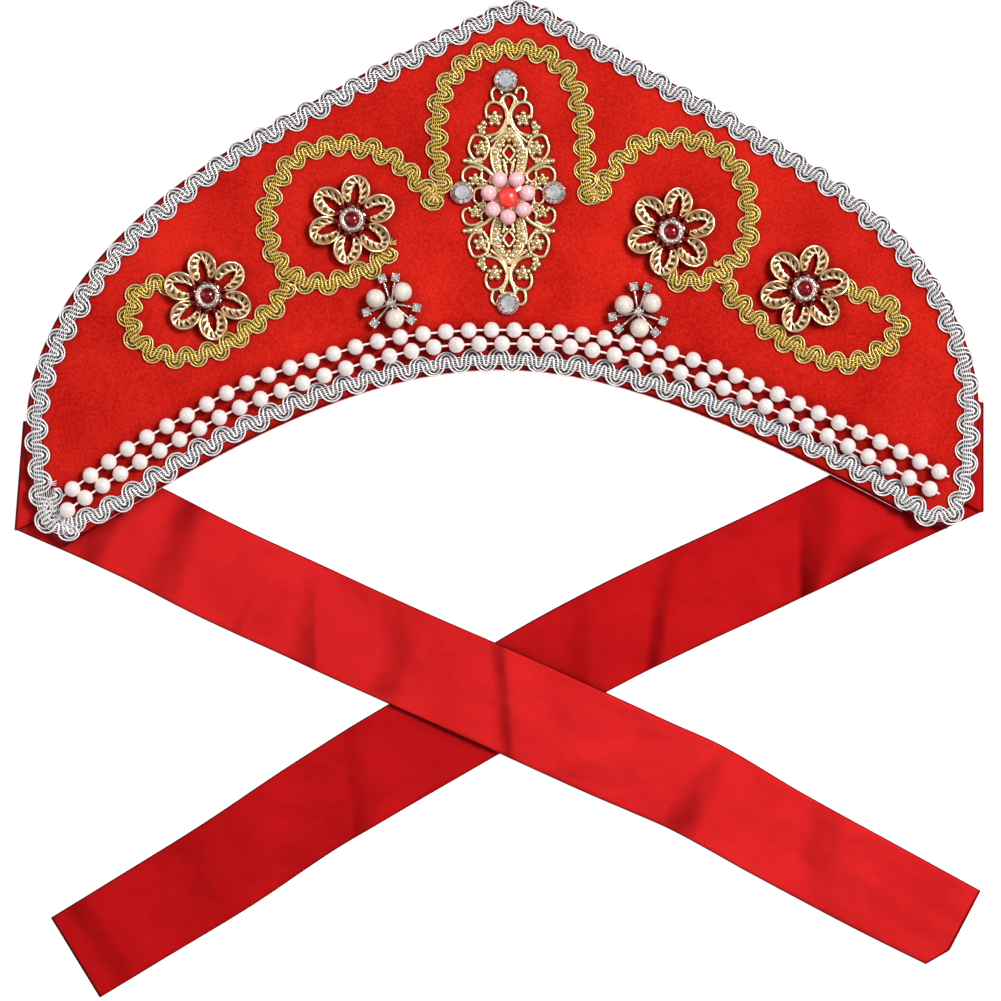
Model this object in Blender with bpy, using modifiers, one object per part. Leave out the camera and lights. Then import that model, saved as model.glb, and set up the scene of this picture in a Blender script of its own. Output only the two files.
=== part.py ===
"""Crown headband lying face up: a stiff peaked panel with trims, stones and two satin ties.

Metres, +Z up. The tables are in millimetres and are scaled by MM where they are used.
X runs to the right of the panel, Y towards its peak, and the ties lie on z = 0.
"""

import math

import bmesh
import bpy
import numpy as np
from mathutils import Matrix, Vector
from mathutils.geometry import interpolate_bezier

MM = 0.001
GAP = 0.3 * MM

# Layers, from the surface that it lies on upwards
TIE_THICK = 1.0 * MM
TIE_FOLD_RADIUS = (TIE_THICK + GAP) / 2
PANEL_THICK = 4.0 * MM
PANEL_BACK = 2 * TIE_THICK + 2 * GAP
PANEL_TOP = PANEL_BACK + PANEL_THICK
PANEL_EDGE_ROUND = 0.8 * MM
PANEL_SIDE_POINTS = 42
PANEL_BROW_POINTS = 15
TRIM_BASE = PANEL_TOP + GAP
BRAID_THICK = 1.2 * MM
BRAID_TOP = TRIM_BASE + BRAID_THICK

# Brow arc: y = rise - depth * (sqrt(1 + (x / reach)^2) - 1), wider on the left half
BROW_RISE = 49.1
BROW_REACH = {"left": 112.5, "right": 90.0}
BROW_DEPTH = {"left": 86.9, "right": 55.7}
BROW_ENDS = {"left": -152.0, "right": 155.0}

# Gimp braid: a flat band with a station at each step along its route
SILVER_BAND = {"width": 7.6, "step": 11.0}
GOLD_BAND = {"width": 8.2, "step": 7.5}

PEARL_RADIUS = 3.0 * MM
PEARLS_IN_ROW = 42
THREAD_RADIUS = 0.5 * MM
THREAD_SIDES = 3
LOWER_ROW_LIFT = 1.1 * MM
LOWER_ROW_LIFT_REACH = 62.0 * MM

FLOWER_TIP = 17.0 * MM
FLOWER_PLATE = 0.8 * MM
FLOWER_RISE = BRAID_TOP + GAP - TRIM_BASE
PETALS = 6

FILIGREE_CENTRE = (3.0, 113.6)
FILIGREE_THICK = 1.0 * MM
FILIGREE_TOP = TRIM_BASE + FILIGREE_THICK

PINK_PEARLS = 7
PINK_PEARL_RADIUS = 2.85 * MM
PINK_RING_RADIUS = 7.0 * MM

SPRAY_PEARL_RADIUS = 3.6 * MM
SPRAY_PEARL_REACH = 6.0
SPRAY_STONE_REACH = 9.8
SPRAY_STONE_TURNS = (36.0, 66.0)
SPRAY_ARM_WIDTH = 1.4
SPRAY_HUB_RADIUS = 1.8
SPRAY_PLATE = 1.4 * MM

BEAD_SIDES = 10
BEAD_RINGS = 4
STONE_SIDES = 10
SPRAY_STONE_SIDES = 8
FLOWER_DISH_SIDES = 6
SMOOTH_STEPS = 6
BRAID_END_TRIM = 3
FOLD_TURNS = (45.0, 90.0, 135.0)
WELD = 0.001 * MM

# Panel's side edges from corner to peak to corner: braid_inset is the braid's middle from the edge
PANEL_SIDES = (
    # x, y, braid_inset
    (-163.5, -17.4, 5.0),
    (-170.6, -11.4, 4.5),
    (-174.8, -1.7, 4.1),
    (-178.1, 26.4, 4.2),
    (-174.0, 50.8, 4.4),
    (-157.5, 82.3, 4.8),
    (-123.8, 116.4, 3.6),
    (-67.5, 151.3, 3.3),
    (-22.5, 174.9, 3.3),
    (0.0, 185.1, 2.9),
    (8.3, 186.9, 3.0),
    (15.0, 185.1, 3.4),
    (33.8, 174.2, 3.0),
    (78.8, 148.7, 2.9),
    (123.8, 120.9, 2.4),
    (157.5, 91.3, 2.8),
    (176.6, 54.6, 3.4),
    (180.0, 30.2, 4.1),
    (176.3, 5.8, 4.1),
    (172.5, -3.6, 3.9),
    (167.6, -10.7, 4.2),
)

BROW_BRAID = (
    # x, inset
    (163.0, 5.4),
    (146.3, 5.2),
    (111.4, 6.2),
    (57.0, 4.9),
    (0.0, 3.6),
    (-56.3, 4.6),
    (-109.9, 5.2),
    (-152.6, 3.6),
    (-160.5, 3.4),
)

# Gold braid routes, each row one (x, y) that the middle of the band runs through
GOLD_ARCH = (
    (-22.3, 113.0),
    (-24.0, 135.2),
    (-21.0, 154.7),
    (-8.3, 166.7),
    (7.5, 169.3),
    (21.8, 163.7),
    (29.3, 150.9),
    (31.5, 133.3),
    (33.6, 113.5),
)
GOLD_SCROLL_LEFT = (
    (-25.5, 115.0),
    (-40.9, 128.4),
    (-60.0, 133.3),
    (-77.5, 127.5),
    (-86.6, 111.9),
    (-86.6, 97.7),
    (-79.5, 85.3),
    (-65.6, 80.8),
    (-53.3, 85.3),
    (-42.8, 92.4),
)
GOLD_SCROLL_RIGHT = (
    (36.0, 116.5),
    (48.8, 131.1),
    (67.5, 136.0),
    (85.5, 128.8),
    (93.2, 112.0),
    (91.5, 94.7),
    (79.5, 83.4),
    (64.9, 83.1),
    (60.8, 85.7),
)
GOLD_LOOP_LEFT = (
    (-79.0, 76.3),
    (-89.6, 67.7),
    (-99.8, 59.8),
    (-111.8, 54.6),
    (-124.1, 53.8),
    (-135.8, 59.8),
    (-139.2, 70.0),
    (-134.6, 78.9),
    (-122.3, 81.2),
)
GOLD_LOOP_RIGHT = (
    (85.0, 77.5),
    (93.8, 69.2),
    (108.0, 59.4),
    (122.3, 51.9),
    (129.5, 50.9),
    (140.5, 54.0),
    (149.0, 63.5),
    (146.6, 71.4),
    (134.3, 78.6),
    (128.6, 80.1),
)

PEARL_ROW_UPPER = (
    (-160.1, 4.3),
    (-139.5, 19.3),
    (-117.2, 31.9),
    (-94.7, 43.9),
    (-70.5, 52.3),
    (-45.8, 59.6),
    (-20.3, 63.2),
    (5.4, 63.8),
    (30.8, 62.1),
    (55.9, 57.3),
    (80.4, 49.9),
    (103.9, 39.8),
    (126.9, 29.1),
    (150.0, 18.3),
    (164.4, 10.8),
)
PEARL_ROW_LOWER = (
    (-162.0, -3.6),
    (-142.1, 10.0),
    (-120.0, 22.9),
    (-97.5, 34.8),
    (-73.9, 44.0),
    (-49.5, 51.9),
    (-24.8, 57.4),
    (0.8, 58.7),
    (26.3, 57.6),
    (51.0, 52.5),
    (75.8, 45.2),
    (99.4, 35.2),
    (122.6, 24.2),
    (145.5, 12.6),
    (160.9, 4.4),
)

# Ties: each row is one section across the strip, from the sewn end to the free end
# slant is the section's turn from square, and lift its height above the surface
TIE_LEFT = (
    # x, y, width, slant, lift
    (-134.6, -12.0, 36.0, 0.0, 0.0),
    (-104.0, -27.5, 36.0, 0.0, 1.2),
    (-75.4, -40.7, 36.0, 0.0, 0.0),
    (-52.0, -51.5, 36.0, 0.0, 0.4),
    (-33.0, -60.0, 36.0, 0.0, 1.5),
    (3.0, -75.9, 36.5, 0.0, 2.2),
    (40.0, -92.8, 36.5, 0.0, 1.5),
    (57.0, -100.4, 36.0, 0.0, 0.2),
    (74.0, -108.0, 36.0, 0.0, 1.2),
    (104.4, -125.3, 35.0, 0.0, 0.0),
    (138.2, -143.6, 34.5, 0.0, 0.4),
    (170.4, -159.9, 32.8, -12.0, 0.0),
)
TIE_RIGHT = (
    # x, y, width, slant, lift
    (141.0, -2.6, 36.0, 0.0, 0.0),
    (120.2, -12.8, 36.0, 0.0, 1.4),
    (98.0, -23.5, 36.0, 0.0, 0.0),
    (63.0, -39.8, 36.0, 0.0, 1.0),
    (45.0, -48.6, 36.0, 0.0, 0.0),
    (19.7, -62.1, 36.0, 0.0, 0.0),
    (-8.3, -78.6, 36.0, 0.0, 0.0),
    (-44.0, -99.2, 36.0, 0.0, 0.0),
    (-58.0, -107.7, 35.5, 0.0, 1.4),
    (-72.0, -116.4, 35.0, 0.0, 0.0),
    (-103.3, -137.4, 35.0, 0.0, 0.4),
    (-137.6, -158.4, 34.5, 0.0, 0.0),
    (-160.3, -172.3, 34.4, 0.0, 0.0),
)
TIE_FOLDS = {
    # the fold line's middle and length, and how far the sewn end reaches back from it
    "left": {"x": -180.5, "y": 9.3, "length": 40.2, "reach": 25.0, "rise": 12.0},
    "right": {"x": 180.75, "y": 16.3, "length": 40.5, "reach": -25.0, "rise": 12.0},
}

FLOWERS = {
    "outer_left": {"x": -109.5, "y": 76.7, "turn": 41.0},
    "inner_left": {"x": -55.5, "y": 105.2, "turn": 22.0},
    "inner_right": {"x": 64.1, "y": 100.7, "turn": 16.0},
    "outer_right": {"x": 114.2, "y": 79.3, "turn": 12.0},
}
# Half of one petal's outline, from the valley beside it to its tip
PETAL_HALF = (
    # radius, angle from the petal's axis
    (5.4, 30.0),
    (10.8, 25.0),
    (15.2, 15.0),
)
PETAL_SLIT = {"inner": 8.6, "outer": 13.8, "half_width": 0.9}

RHINESTONES = {
    "top": (2.1, 157.5),
    "left": (-14.3, 115.4),
    "right": (20.2, 115.4),
    "bottom": (3.0, 74.0),
}

# One quarter of the filigree's outline, from its long axis to its short one
FILIGREE_EDGE = (
    (0.0, 39.0),
    (3.2, 40.8),
    (6.2, 39.4),
    (5.9, 35.0),
    (8.6, 32.4),
    (8.7, 28.2),
    (12.4, 24.8),
    (14.6, 19.5),
    (14.6, 14.0),
    (16.6, 11.2),
    (17.6, 6.6),
    (14.6, 2.4),
    (12.6, 0.0),
)
# Gaps of one quarter, which the other quarters mirror
FILIGREE_GAPS = (
    # x, y, half_width, half_height
    (0.0, 33.0, 1.6, 2.6),
    (5.0, 31.2, 2.0, 1.3),
    (6.4, 24.2, 1.8, 1.3),
    (6.4, 19.6, 1.1, 1.7),
    (11.8, 17.6, 1.5, 2.4),
    (0.0, 15.8, 1.7, 2.5),
    (8.0, 13.2, 1.3, 2.2),
    (13.8, 8.4, 2.1, 1.4),
    (8.4, 6.4, 1.5, 1.2),
    (10.2, 0.0, 0.9, 1.9),
)
GAP_CORNERS = 4

SPRAYS = {
    "left": {"x": -40.8, "y": 73.9, "turn": 44.0},
    "right": {"x": 51.8, "y": 70.5, "turn": 34.0},
}

# Turned profiles, each row one ring from the outside at the bottom up to the axis
RHINESTONE_PROFILE = (
    # radius, height
    (3.9, 0.0),
    (4.2, 0.9),
    (2.5, 2.4),
)
FLOWER_CENTRE_PROFILE = (
    (4.9, 0.0),
    (4.7, 1.0),
    (2.7, 1.5),
    (1.7, 2.5),
)
FLOWER_DISH_PROFILE = (
    (4.2, 0.0),
    (5.6, 1.9),
)
SPRAY_STONE_PROFILE = (
    (1.0, 0.4),
    (1.8, 3.0),
    (1.1, 3.9),
)
SPRAY_STEM_PROFILE = (
    (1.5, 0.4),
    (1.8, 6.0),
    (1.1, 6.9),
)
CABOCHON_PROFILE = (
    (3.5, 0.0),
    (3.9, 1.2),
    (3.2, 2.9),
    (1.7, 4.0),
)

COLOURS = {
    # name: (linear RGB), roughness, metallic
    "red_satin": ((0.62, 0.014, 0.010), 0.42, 0.0),
    "silver_braid": ((0.62, 0.60, 0.60), 0.35, 0.8),
    "gold_braid": ((0.62, 0.44, 0.08), 0.35, 0.8),
    "white_pearl": ((0.86, 0.80, 0.76), 0.2, 0.0),
    "pink_pearl": ((0.86, 0.42, 0.42), 0.2, 0.0),
    "gold_metal": ((0.83, 0.62, 0.28), 0.25, 1.0),
    "silver_metal": ((0.75, 0.72, 0.66), 0.25, 1.0),
    "clear_crystal": ((0.78, 0.80, 0.82), 0.05, 0.2),
    "garnet_crystal": ((0.25, 0.01, 0.01), 0.1, 0.0),
    "coral": ((0.80, 0.06, 0.04), 0.25, 0.0),
}


def clear_scene():
    for obj in list(bpy.data.objects):
        bpy.data.objects.remove(obj, do_unlink=True)


def new_collection(name):
    collection = bpy.data.collections.new(name)
    bpy.context.scene.collection.children.link(collection)
    return collection


def material(name):
    """The named Principled material, made the first time that it is asked for."""
    found = bpy.data.materials.get(name)
    if found:
        return found
    colour, roughness, metallic = COLOURS[name]
    made = bpy.data.materials.new(name)
    made.use_nodes = True
    shader = made.node_tree.nodes["Principled BSDF"]
    shader.inputs["Base Color"].default_value = (*colour, 1.0)
    shader.inputs["Roughness"].default_value = roughness
    shader.inputs["Metallic"].default_value = metallic
    return made


def place(name, data, collection, finish, location=(0.0, 0.0, 0.0), turn=0.0, parent=None):
    """A new object holding `data`, turned `turn` degrees about Z."""
    obj = bpy.data.objects.new(name, data)
    collection.objects.link(obj)
    obj.location = location
    obj.rotation_euler.z = math.radians(turn)
    obj.parent = parent
    if not data.materials:
        data.materials.append(material(finish))
    return obj


def mesh_of(name, build):
    """A mesh that `build` fills as a bmesh, with its faces turned outwards."""
    bm = bmesh.new()
    build(bm)
    bmesh.ops.recalc_face_normals(bm, faces=bm.faces)
    data = bpy.data.meshes.new(name)
    bm.to_mesh(data)
    bm.free()
    return data


def polar(radius, degrees):
    return Vector((radius * math.cos(math.radians(degrees)), radius * math.sin(math.radians(degrees))))


def smooth_path(rows, steps):
    """Points of a smooth curve through the rows, with `steps` points to each span."""
    knots = [Vector(row) for row in rows]
    spans = [after - before for before, after in zip(knots, knots[1:])]
    slopes = [spans[0].normalized()]
    slopes += [(a.normalized() + b.normalized()).normalized() for a, b in zip(spans, spans[1:])]
    slopes.append(spans[-1].normalized())
    path = [knots[0]]
    for i, span in enumerate(spans):
        reach = span.length / 3
        lead = knots[i] + slopes[i] * reach
        trail = knots[i + 1] - slopes[i + 1] * reach
        path.extend(interpolate_bezier(knots[i], lead, trail, knots[i + 1], steps + 1)[1:])
    return path


def spaced(path, count):
    """`count` points evenly spaced along a path, both of its ends included."""
    steps = [(b - a).length for a, b in zip(path, path[1:])]
    along = np.concatenate(([0.0], np.cumsum(steps)))
    wanted = np.linspace(0.0, along[-1], count)
    axes = [np.interp(wanted, along, [point[axis] for point in path]) for axis in range(len(path[0]))]
    return [Vector(values) for values in zip(*axes)]


def headings(path):
    """Unit directions along a path, one at each point."""
    ends = [path[0], *path, path[-1]]
    return [(after - before).normalized() for before, after in zip(ends, ends[2:])]


def path_length(path):
    return sum((b - a).length for a, b in zip(path, path[1:]))


def brow_height(x):
    """Height in Y of the brow arc at x, both in millimetres."""
    side = "left" if x < 0 else "right"
    return BROW_RISE - BROW_DEPTH[side] * (math.sqrt(1 + (x / BROW_REACH[side]) ** 2) - 1)


def brow_normal(x):
    """Unit vector square to the brow arc at x, pointing into the panel."""
    side = "left" if x < 0 else "right"
    ratio = x / BROW_REACH[side]
    slope = -BROW_DEPTH[side] / BROW_REACH[side] * ratio / math.sqrt(1 + ratio**2)
    return Vector((-slope, 1.0)).normalized()


def side_braid_route():
    """The braid's middle along the panel's sides, set in from the edge."""
    rows = [(x, y, inset) for x, y, inset in PANEL_SIDES]
    path = smooth_path(rows, SMOOTH_STEPS)
    flat = [Vector((p.x, p.y)) for p in path]
    route = []
    for point, row, heading in zip(flat, path, headings(flat)):
        route.append(point + Vector((heading.y, -heading.x)) * row.z)
    return route[BRAID_END_TRIM:-BRAID_END_TRIM]


def brow_braid_route():
    rows = []
    for x, inset in BROW_BRAID:
        rows.append(Vector((x, brow_height(x))) + brow_normal(x) * inset)
    return smooth_path(rows, SMOOTH_STEPS)


def gimp_outline(route, band):
    """Closed outline, in millimetres, of a band of braid along a route."""
    stations = round(path_length(route) / band["step"]) + 1
    middle = spaced(route, stations)
    left, right = [], []
    for point, heading in zip(middle, headings(middle)):
        aside = Vector((-heading.y, heading.x)) * band["width"] / 2
        left.append(point + aside)
        right.append(point - aside)
    return left + right[::-1]


def plate_mesh(name, outlines, base, thick):
    """A flat plate as a mesh: the first outline is its edge and the others are gaps."""
    curve = bpy.data.curves.new(name, "CURVE")
    curve.dimensions = "2D"
    curve.fill_mode = "BOTH"
    curve.extrude = thick / 2
    for outline in outlines:
        spline = curve.splines.new("POLY")
        spline.points.add(len(outline) - 1)
        for point, (x, y) in zip(spline.points, outline):
            point.co = (x * MM, y * MM, 0.0, 1.0)
        spline.use_cyclic_u = True
    guide = bpy.data.objects.new(name, curve)
    bpy.context.scene.collection.objects.link(guide)
    bpy.context.view_layer.update()
    graph = bpy.context.evaluated_depsgraph_get()
    data = bpy.data.meshes.new_from_object(guide.evaluated_get(graph))
    bpy.data.objects.remove(guide, do_unlink=True)
    bpy.data.curves.remove(curve)
    data.transform(Matrix.Translation((0.0, 0.0, base + thick / 2)))
    bm = bmesh.new()
    bm.from_mesh(data)
    bmesh.ops.remove_doubles(bm, verts=bm.verts, dist=WELD)
    bmesh.ops.recalc_face_normals(bm, faces=bm.faces)
    bm.to_mesh(data)
    bm.free()
    data.materials.clear()
    return data


def turned_mesh(name, profile, sides):
    """A closed turned solid from rings of (radius, height) in millimetres."""

    def build(bm):
        rings = []
        for radius, height in profile:
            ring = []
            for side in range(sides):
                spot = polar(radius, 360 * side / sides) * MM
                ring.append(bm.verts.new((spot.x, spot.y, height * MM)))
            rings.append(ring)
        for lower, upper in zip(rings, rings[1:]):
            for side in range(sides):
                after = (side + 1) % sides
                bm.faces.new((lower[side], lower[after], upper[after], upper[side]))
        bm.faces.new(rings[0][::-1])
        bm.faces.new(rings[-1])

    return mesh_of(name, build)


def ball_mesh(name, radius):
    def build(bm):
        bmesh.ops.create_uvsphere(bm, u_segments=BEAD_SIDES, v_segments=BEAD_RINGS, radius=radius)

    return mesh_of(name, build)


def union(target, tools, helpers):
    """Joins the tool objects into the target with one Boolean each."""
    for tool in tools:
        for owner in list(tool.users_collection):
            owner.objects.unlink(tool)
        helpers.objects.link(tool)
        tool.hide_render = True
        tool.display_type = "WIRE"
        joint = target.modifiers.new("join_" + tool.name, "BOOLEAN")
        joint.operation = "UNION"
        joint.object = tool


def make_panel(parts):
    route = smooth_path([(x, y) for x, y, _ in PANEL_SIDES], SMOOTH_STEPS)
    sides = [(point.x, point.y) for point in spaced(route, PANEL_SIDE_POINTS)]
    stations = np.linspace(BROW_ENDS["right"], BROW_ENDS["left"], PANEL_BROW_POINTS)
    brow = [(x, brow_height(x)) for x in stations]
    board = plate_mesh("crown_panel", [sides + brow], PANEL_BACK, PANEL_THICK)
    panel = place("crown_panel", board, parts, "red_satin")
    rounding = panel.modifiers.new("rounded_edge", "BEVEL")
    rounding.width = PANEL_EDGE_ROUND
    rounding.segments = 1
    rounding.limit_method = "ANGLE"
    rounding.angle_limit = math.radians(60)


def braid_object(name, route, band, finish, parts):
    data = plate_mesh(name, [gimp_outline(route, band)], TRIM_BASE, BRAID_THICK)
    return place(name, data, parts, finish)


def make_braids(parts, helpers):
    silver = braid_object("silver_braid", side_braid_route(), SILVER_BAND, "silver_braid", parts)
    brow = braid_object("silver_brow_stretch", brow_braid_route(), SILVER_BAND, "silver_braid", parts)
    union(silver, [brow], helpers)
    arch = smooth_path(GOLD_ARCH, SMOOTH_STEPS)
    crest = braid_object("gold_braid_crest", arch, GOLD_BAND, "gold_braid", parts)
    scrolls = []
    for side, rows in (("left", GOLD_SCROLL_LEFT), ("right", GOLD_SCROLL_RIGHT)):
        route = smooth_path(rows, SMOOTH_STEPS)
        scrolls.append(braid_object("gold_scroll_" + side, route, GOLD_BAND, "gold_braid", parts))
    union(crest, scrolls, helpers)
    for side, rows in (("left", GOLD_LOOP_LEFT), ("right", GOLD_LOOP_RIGHT)):
        route = smooth_path(rows, SMOOTH_STEPS)
        braid_object("gold_braid_loop_" + side, route, GOLD_BAND, "gold_braid", parts)


def lower_row_lift(x):
    """How far the lower row rises to pass over the brow braid, in metres."""
    share = min(abs(x) / LOWER_ROW_LIFT_REACH, 1.0)
    return LOWER_ROW_LIFT * math.cos(share * math.pi / 2) ** 0.5


def bridge(bm, lower, upper):
    """Joins two rings by triangles, whatever number of points each one has."""
    low = high = 0
    while low < len(lower) or high < len(upper):
        start = lower[low % len(lower)]
        end = upper[high % len(upper)]
        if (low + 1) * len(upper) <= (high + 1) * len(lower):
            low += 1
            bm.faces.new((start, lower[low % len(lower)], end))
        else:
            high += 1
            bm.faces.new((start, upper[high % len(upper)], end))


def bead_rings():
    """One bead turned about its thread: distance along it, radius and sides of each ring."""
    rings = [(-PEARL_RADIUS, THREAD_RADIUS, THREAD_SIDES)]
    for latitude in (-45.0, 0.0, 45.0):
        spot = polar(PEARL_RADIUS, latitude)
        rings.append((spot.y, spot.x, BEAD_SIDES))
    return [*rings, (PEARL_RADIUS, THREAD_RADIUS, THREAD_SIDES)]


def make_pearl_row(name, rows, lift, parts):
    """One string: a row of beads and the thread between them, as one body."""
    spots = []
    for spot in spaced(smooth_path(rows, SMOOTH_STEPS), PEARLS_IN_ROW):
        x = spot.x * MM
        spots.append(Vector((x, spot.y * MM, TRIM_BASE + PEARL_RADIUS + lift(x))))

    def build(bm):
        rings = []
        for spot, heading in zip(spots, headings(spots)):
            aside = Vector((-heading.y, heading.x, 0.0)).normalized()
            above = heading.cross(aside)
            for along, radius, sides in bead_rings():
                ring = []
                for side in range(sides):
                    turn = polar(radius, 90 + 360 * side / sides)
                    ring.append(bm.verts.new(spot + heading * along + aside * turn.x + above * turn.y))
                rings.append(ring)
        for before, after in zip(rings, rings[1:]):
            bridge(bm, before, after)
        bm.faces.new(rings[0])
        bm.faces.new(rings[-1])

    place(name, mesh_of(name, build), parts, "white_pearl")


def tie_sections(rows, fold, towards):
    """Edge point pairs across one tie: under the panel, round its fold, then along its run."""
    low = TIE_THICK / 2
    high = low + 2 * TIE_FOLD_RADIUS
    half = Vector((0.0, fold["length"] / 2 * MM))
    line = Vector((fold["x"], fold["y"])) * MM
    sewn = line + Vector((fold["reach"], fold["rise"])) * MM
    sections = [(sewn + half, sewn - half, high), (line + half, line - half, high)]
    for turn in FOLD_TURNS:
        out = Vector((-towards * TIE_FOLD_RADIUS * math.sin(math.radians(turn)), 0.0))
        height = low + TIE_FOLD_RADIUS * (1 + math.cos(math.radians(turn)))
        sections.append((line + out + half, line + out - half, height))
    sections.append((line + half, line - half, low))
    middle = [line] + [Vector((row[0], row[1])) * MM for row in rows]
    for point, heading, (_, _, width, slant, lift) in zip(middle[1:], headings(middle)[1:], rows):
        across = Vector((-heading.y, heading.x)) * towards * width / 2 * MM
        across.rotate(Matrix.Rotation(math.radians(slant), 2))
        sections.append((point + across, point - across, low + lift * MM))
    return sections


def make_tie(side, rows, towards, parts):
    sections = tie_sections(rows, TIE_FOLDS[side], towards)

    def build(bm):
        pairs = []
        for upper, lower, height in sections:
            pairs.append((bm.verts.new((*upper, height)), bm.verts.new((*lower, height))))
        for (a, b), (c, d) in zip(pairs, pairs[1:]):
            bm.faces.new((a, b, d, c))

    tie = place("tie_" + side, mesh_of("tie_" + side, build), parts, "red_satin")
    cloth = tie.modifiers.new("cloth_thickness", "SOLIDIFY")
    cloth.thickness = TIE_THICK
    cloth.offset = 0.0
    cloth.use_even_offset = True


def flower_outlines():
    """The six-petal outline and a slit in each petal, in millimetres."""
    edge = []
    slits = []
    for petal in range(PETALS):
        axis = petal * 360 / PETALS
        for radius, angle in PETAL_HALF:
            edge.append(polar(radius, axis - angle))
        edge.append(polar(FLOWER_TIP / MM, axis))
        for radius, angle in PETAL_HALF[:0:-1]:
            edge.append(polar(radius, axis + angle))
        middle = (PETAL_SLIT["inner"] + PETAL_SLIT["outer"]) / 2
        aside = polar(PETAL_SLIT["half_width"], axis + 90)
        slits.append(
            [
                polar(PETAL_SLIT["inner"], axis),
                polar(middle, axis) + aside,
                polar(PETAL_SLIT["outer"], axis),
                polar(middle, axis) - aside,
            ]
        )
    return [edge, *slits]


def make_flowers(parts, helpers):
    """Flat pierced petals that clear the braid, each on a dished hub that rests on the panel."""
    petals = plate_mesh("filigree_flower", flower_outlines(), FLOWER_RISE, FLOWER_PLATE)
    centre = turned_mesh("flower_centre", FLOWER_CENTRE_PROFILE, STONE_SIDES)
    dish = turned_mesh("flower_dish", FLOWER_DISH_PROFILE, FLOWER_DISH_SIDES)
    for name, spot in FLOWERS.items():
        hub = bpy.data.objects.new("seat_" + name, None)
        parts.objects.link(hub)
        hub.location = (spot["x"] * MM, spot["y"] * MM, TRIM_BASE)
        hub.rotation_euler.z = math.radians(spot["turn"])
        flower = place("filigree_flower_" + name, petals, parts, "gold_metal", parent=hub)
        tool = place("flower_dish_" + name, dish, parts, "gold_metal", parent=hub)
        union(flower, [tool], helpers)
        seat = (0.0, 0.0, FLOWER_RISE + FLOWER_PLATE + GAP)
        place("flower_centre_" + name, centre, parts, "garnet_crystal", seat, parent=hub)


def filigree_outlines():
    """The lozenge's edge and its gaps in millimetres, mirrored from one quarter."""
    quarter = [Vector(row) for row in FILIGREE_EDGE]
    right = quarter + [Vector((p.x, -p.y)) for p in quarter[-2::-1]]
    edge = right + [Vector((-p.x, p.y)) for p in right[-2:0:-1]]
    corners = [polar(1.0, 90 + 360 * k / GAP_CORNERS) for k in range(GAP_CORNERS)]
    gaps = []
    for x, y, half_width, half_height in FILIGREE_GAPS:
        for side in (1, -1) if x else (1,):
            for end in (1, -1) if y else (1,):
                middle = Vector((side * x, end * y))
                gaps.append([middle + Vector((c.x * half_width, c.y * half_height)) for c in corners])
    return [edge, *gaps]


def make_centrepiece(parts):
    x, y = (value * MM for value in FILIGREE_CENTRE)
    data = plate_mesh("filigree_lozenge", filigree_outlines(), TRIM_BASE, FILIGREE_THICK)
    place("filigree_lozenge", data, parts, "gold_metal", (x, y, 0.0))
    seat = FILIGREE_TOP + GAP
    stone = turned_mesh("rhinestone", RHINESTONE_PROFILE, STONE_SIDES)
    for name, (stone_x, stone_y) in RHINESTONES.items():
        place("rhinestone_" + name, stone, parts, "clear_crystal", (stone_x * MM, stone_y * MM, seat))
    cabochon = turned_mesh("coral_cabochon", CABOCHON_PROFILE, STONE_SIDES)
    place("coral_cabochon", cabochon, parts, "coral", (x, y, seat))
    pearl = ball_mesh("pink_pearl", PINK_PEARL_RADIUS)
    for k in range(PINK_PEARLS):
        spot = polar(PINK_RING_RADIUS, 360 * k / PINK_PEARLS - 90)
        centre = (x + spot.x, y + spot.y, seat + PINK_PEARL_RADIUS)
        place(f"pink_pearl_{k + 1}", pearl, parts, "pink_pearl", centre)


def spray_outline():
    """The star-shaped plate in millimetres: an arm to each pearl seat and each end stone."""
    arms = []
    for third in range(3):
        arms.append((120.0 * third, SPRAY_PEARL_REACH))
        for turn in SPRAY_STONE_TURNS:
            arms.append((120.0 * third + turn, SPRAY_STONE_REACH))
    outline = []
    for k, (turn, reach) in enumerate(arms):
        half = polar(SPRAY_ARM_WIDTH / 2, turn + 90)
        outline.append(polar(reach, turn) - half)
        outline.append(polar(reach, turn) + half)
        following = arms[(k + 1) % len(arms)][0] + (360.0 if k + 1 == len(arms) else 0.0)
        outline.append(polar(SPRAY_HUB_RADIUS, (turn + following) / 2))
    return outline


def make_spray(side, spot, parts, helpers):
    """A star-shaped setting with a middle stone, six end stones and three loose pearls on it."""
    seat = bpy.data.objects.new("seat_spray_" + side, None)
    parts.objects.link(seat)
    seat.location = (spot["x"] * MM, spot["y"] * MM, TRIM_BASE)
    seat.rotation_euler.z = math.radians(spot["turn"])
    plate = plate_mesh("spray_plate", [spray_outline()], 0.0, SPRAY_PLATE)
    setting = place("spray_setting_" + side, plate, parts, "silver_metal", parent=seat)
    stem = turned_mesh("spray_stem", SPRAY_STEM_PROFILE, SPRAY_STONE_SIDES)
    stone = turned_mesh("spray_stone", SPRAY_STONE_PROFILE, SPRAY_STONE_SIDES)
    pearl = ball_mesh("spray_pearl", SPRAY_PEARL_RADIUS)
    tools = [place("spray_stem_" + side, stem, parts, "silver_metal", parent=seat)]
    for third in range(3):
        resting = (*polar(SPRAY_PEARL_REACH * MM, 120.0 * third), SPRAY_PLATE + GAP + SPRAY_PEARL_RADIUS)
        place(f"spray_pearl_{side}_{third + 1}", pearl, parts, "white_pearl", resting, parent=seat)
        for k, turn in enumerate(SPRAY_STONE_TURNS):
            tip = (*polar(SPRAY_STONE_REACH * MM, 120.0 * third + turn), 0.0)
            name = f"spray_stone_{side}_{2 * third + k + 1}"
            tools.append(place(name, stone, parts, "silver_metal", tip, parent=seat))
    union(setting, tools, helpers)


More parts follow.
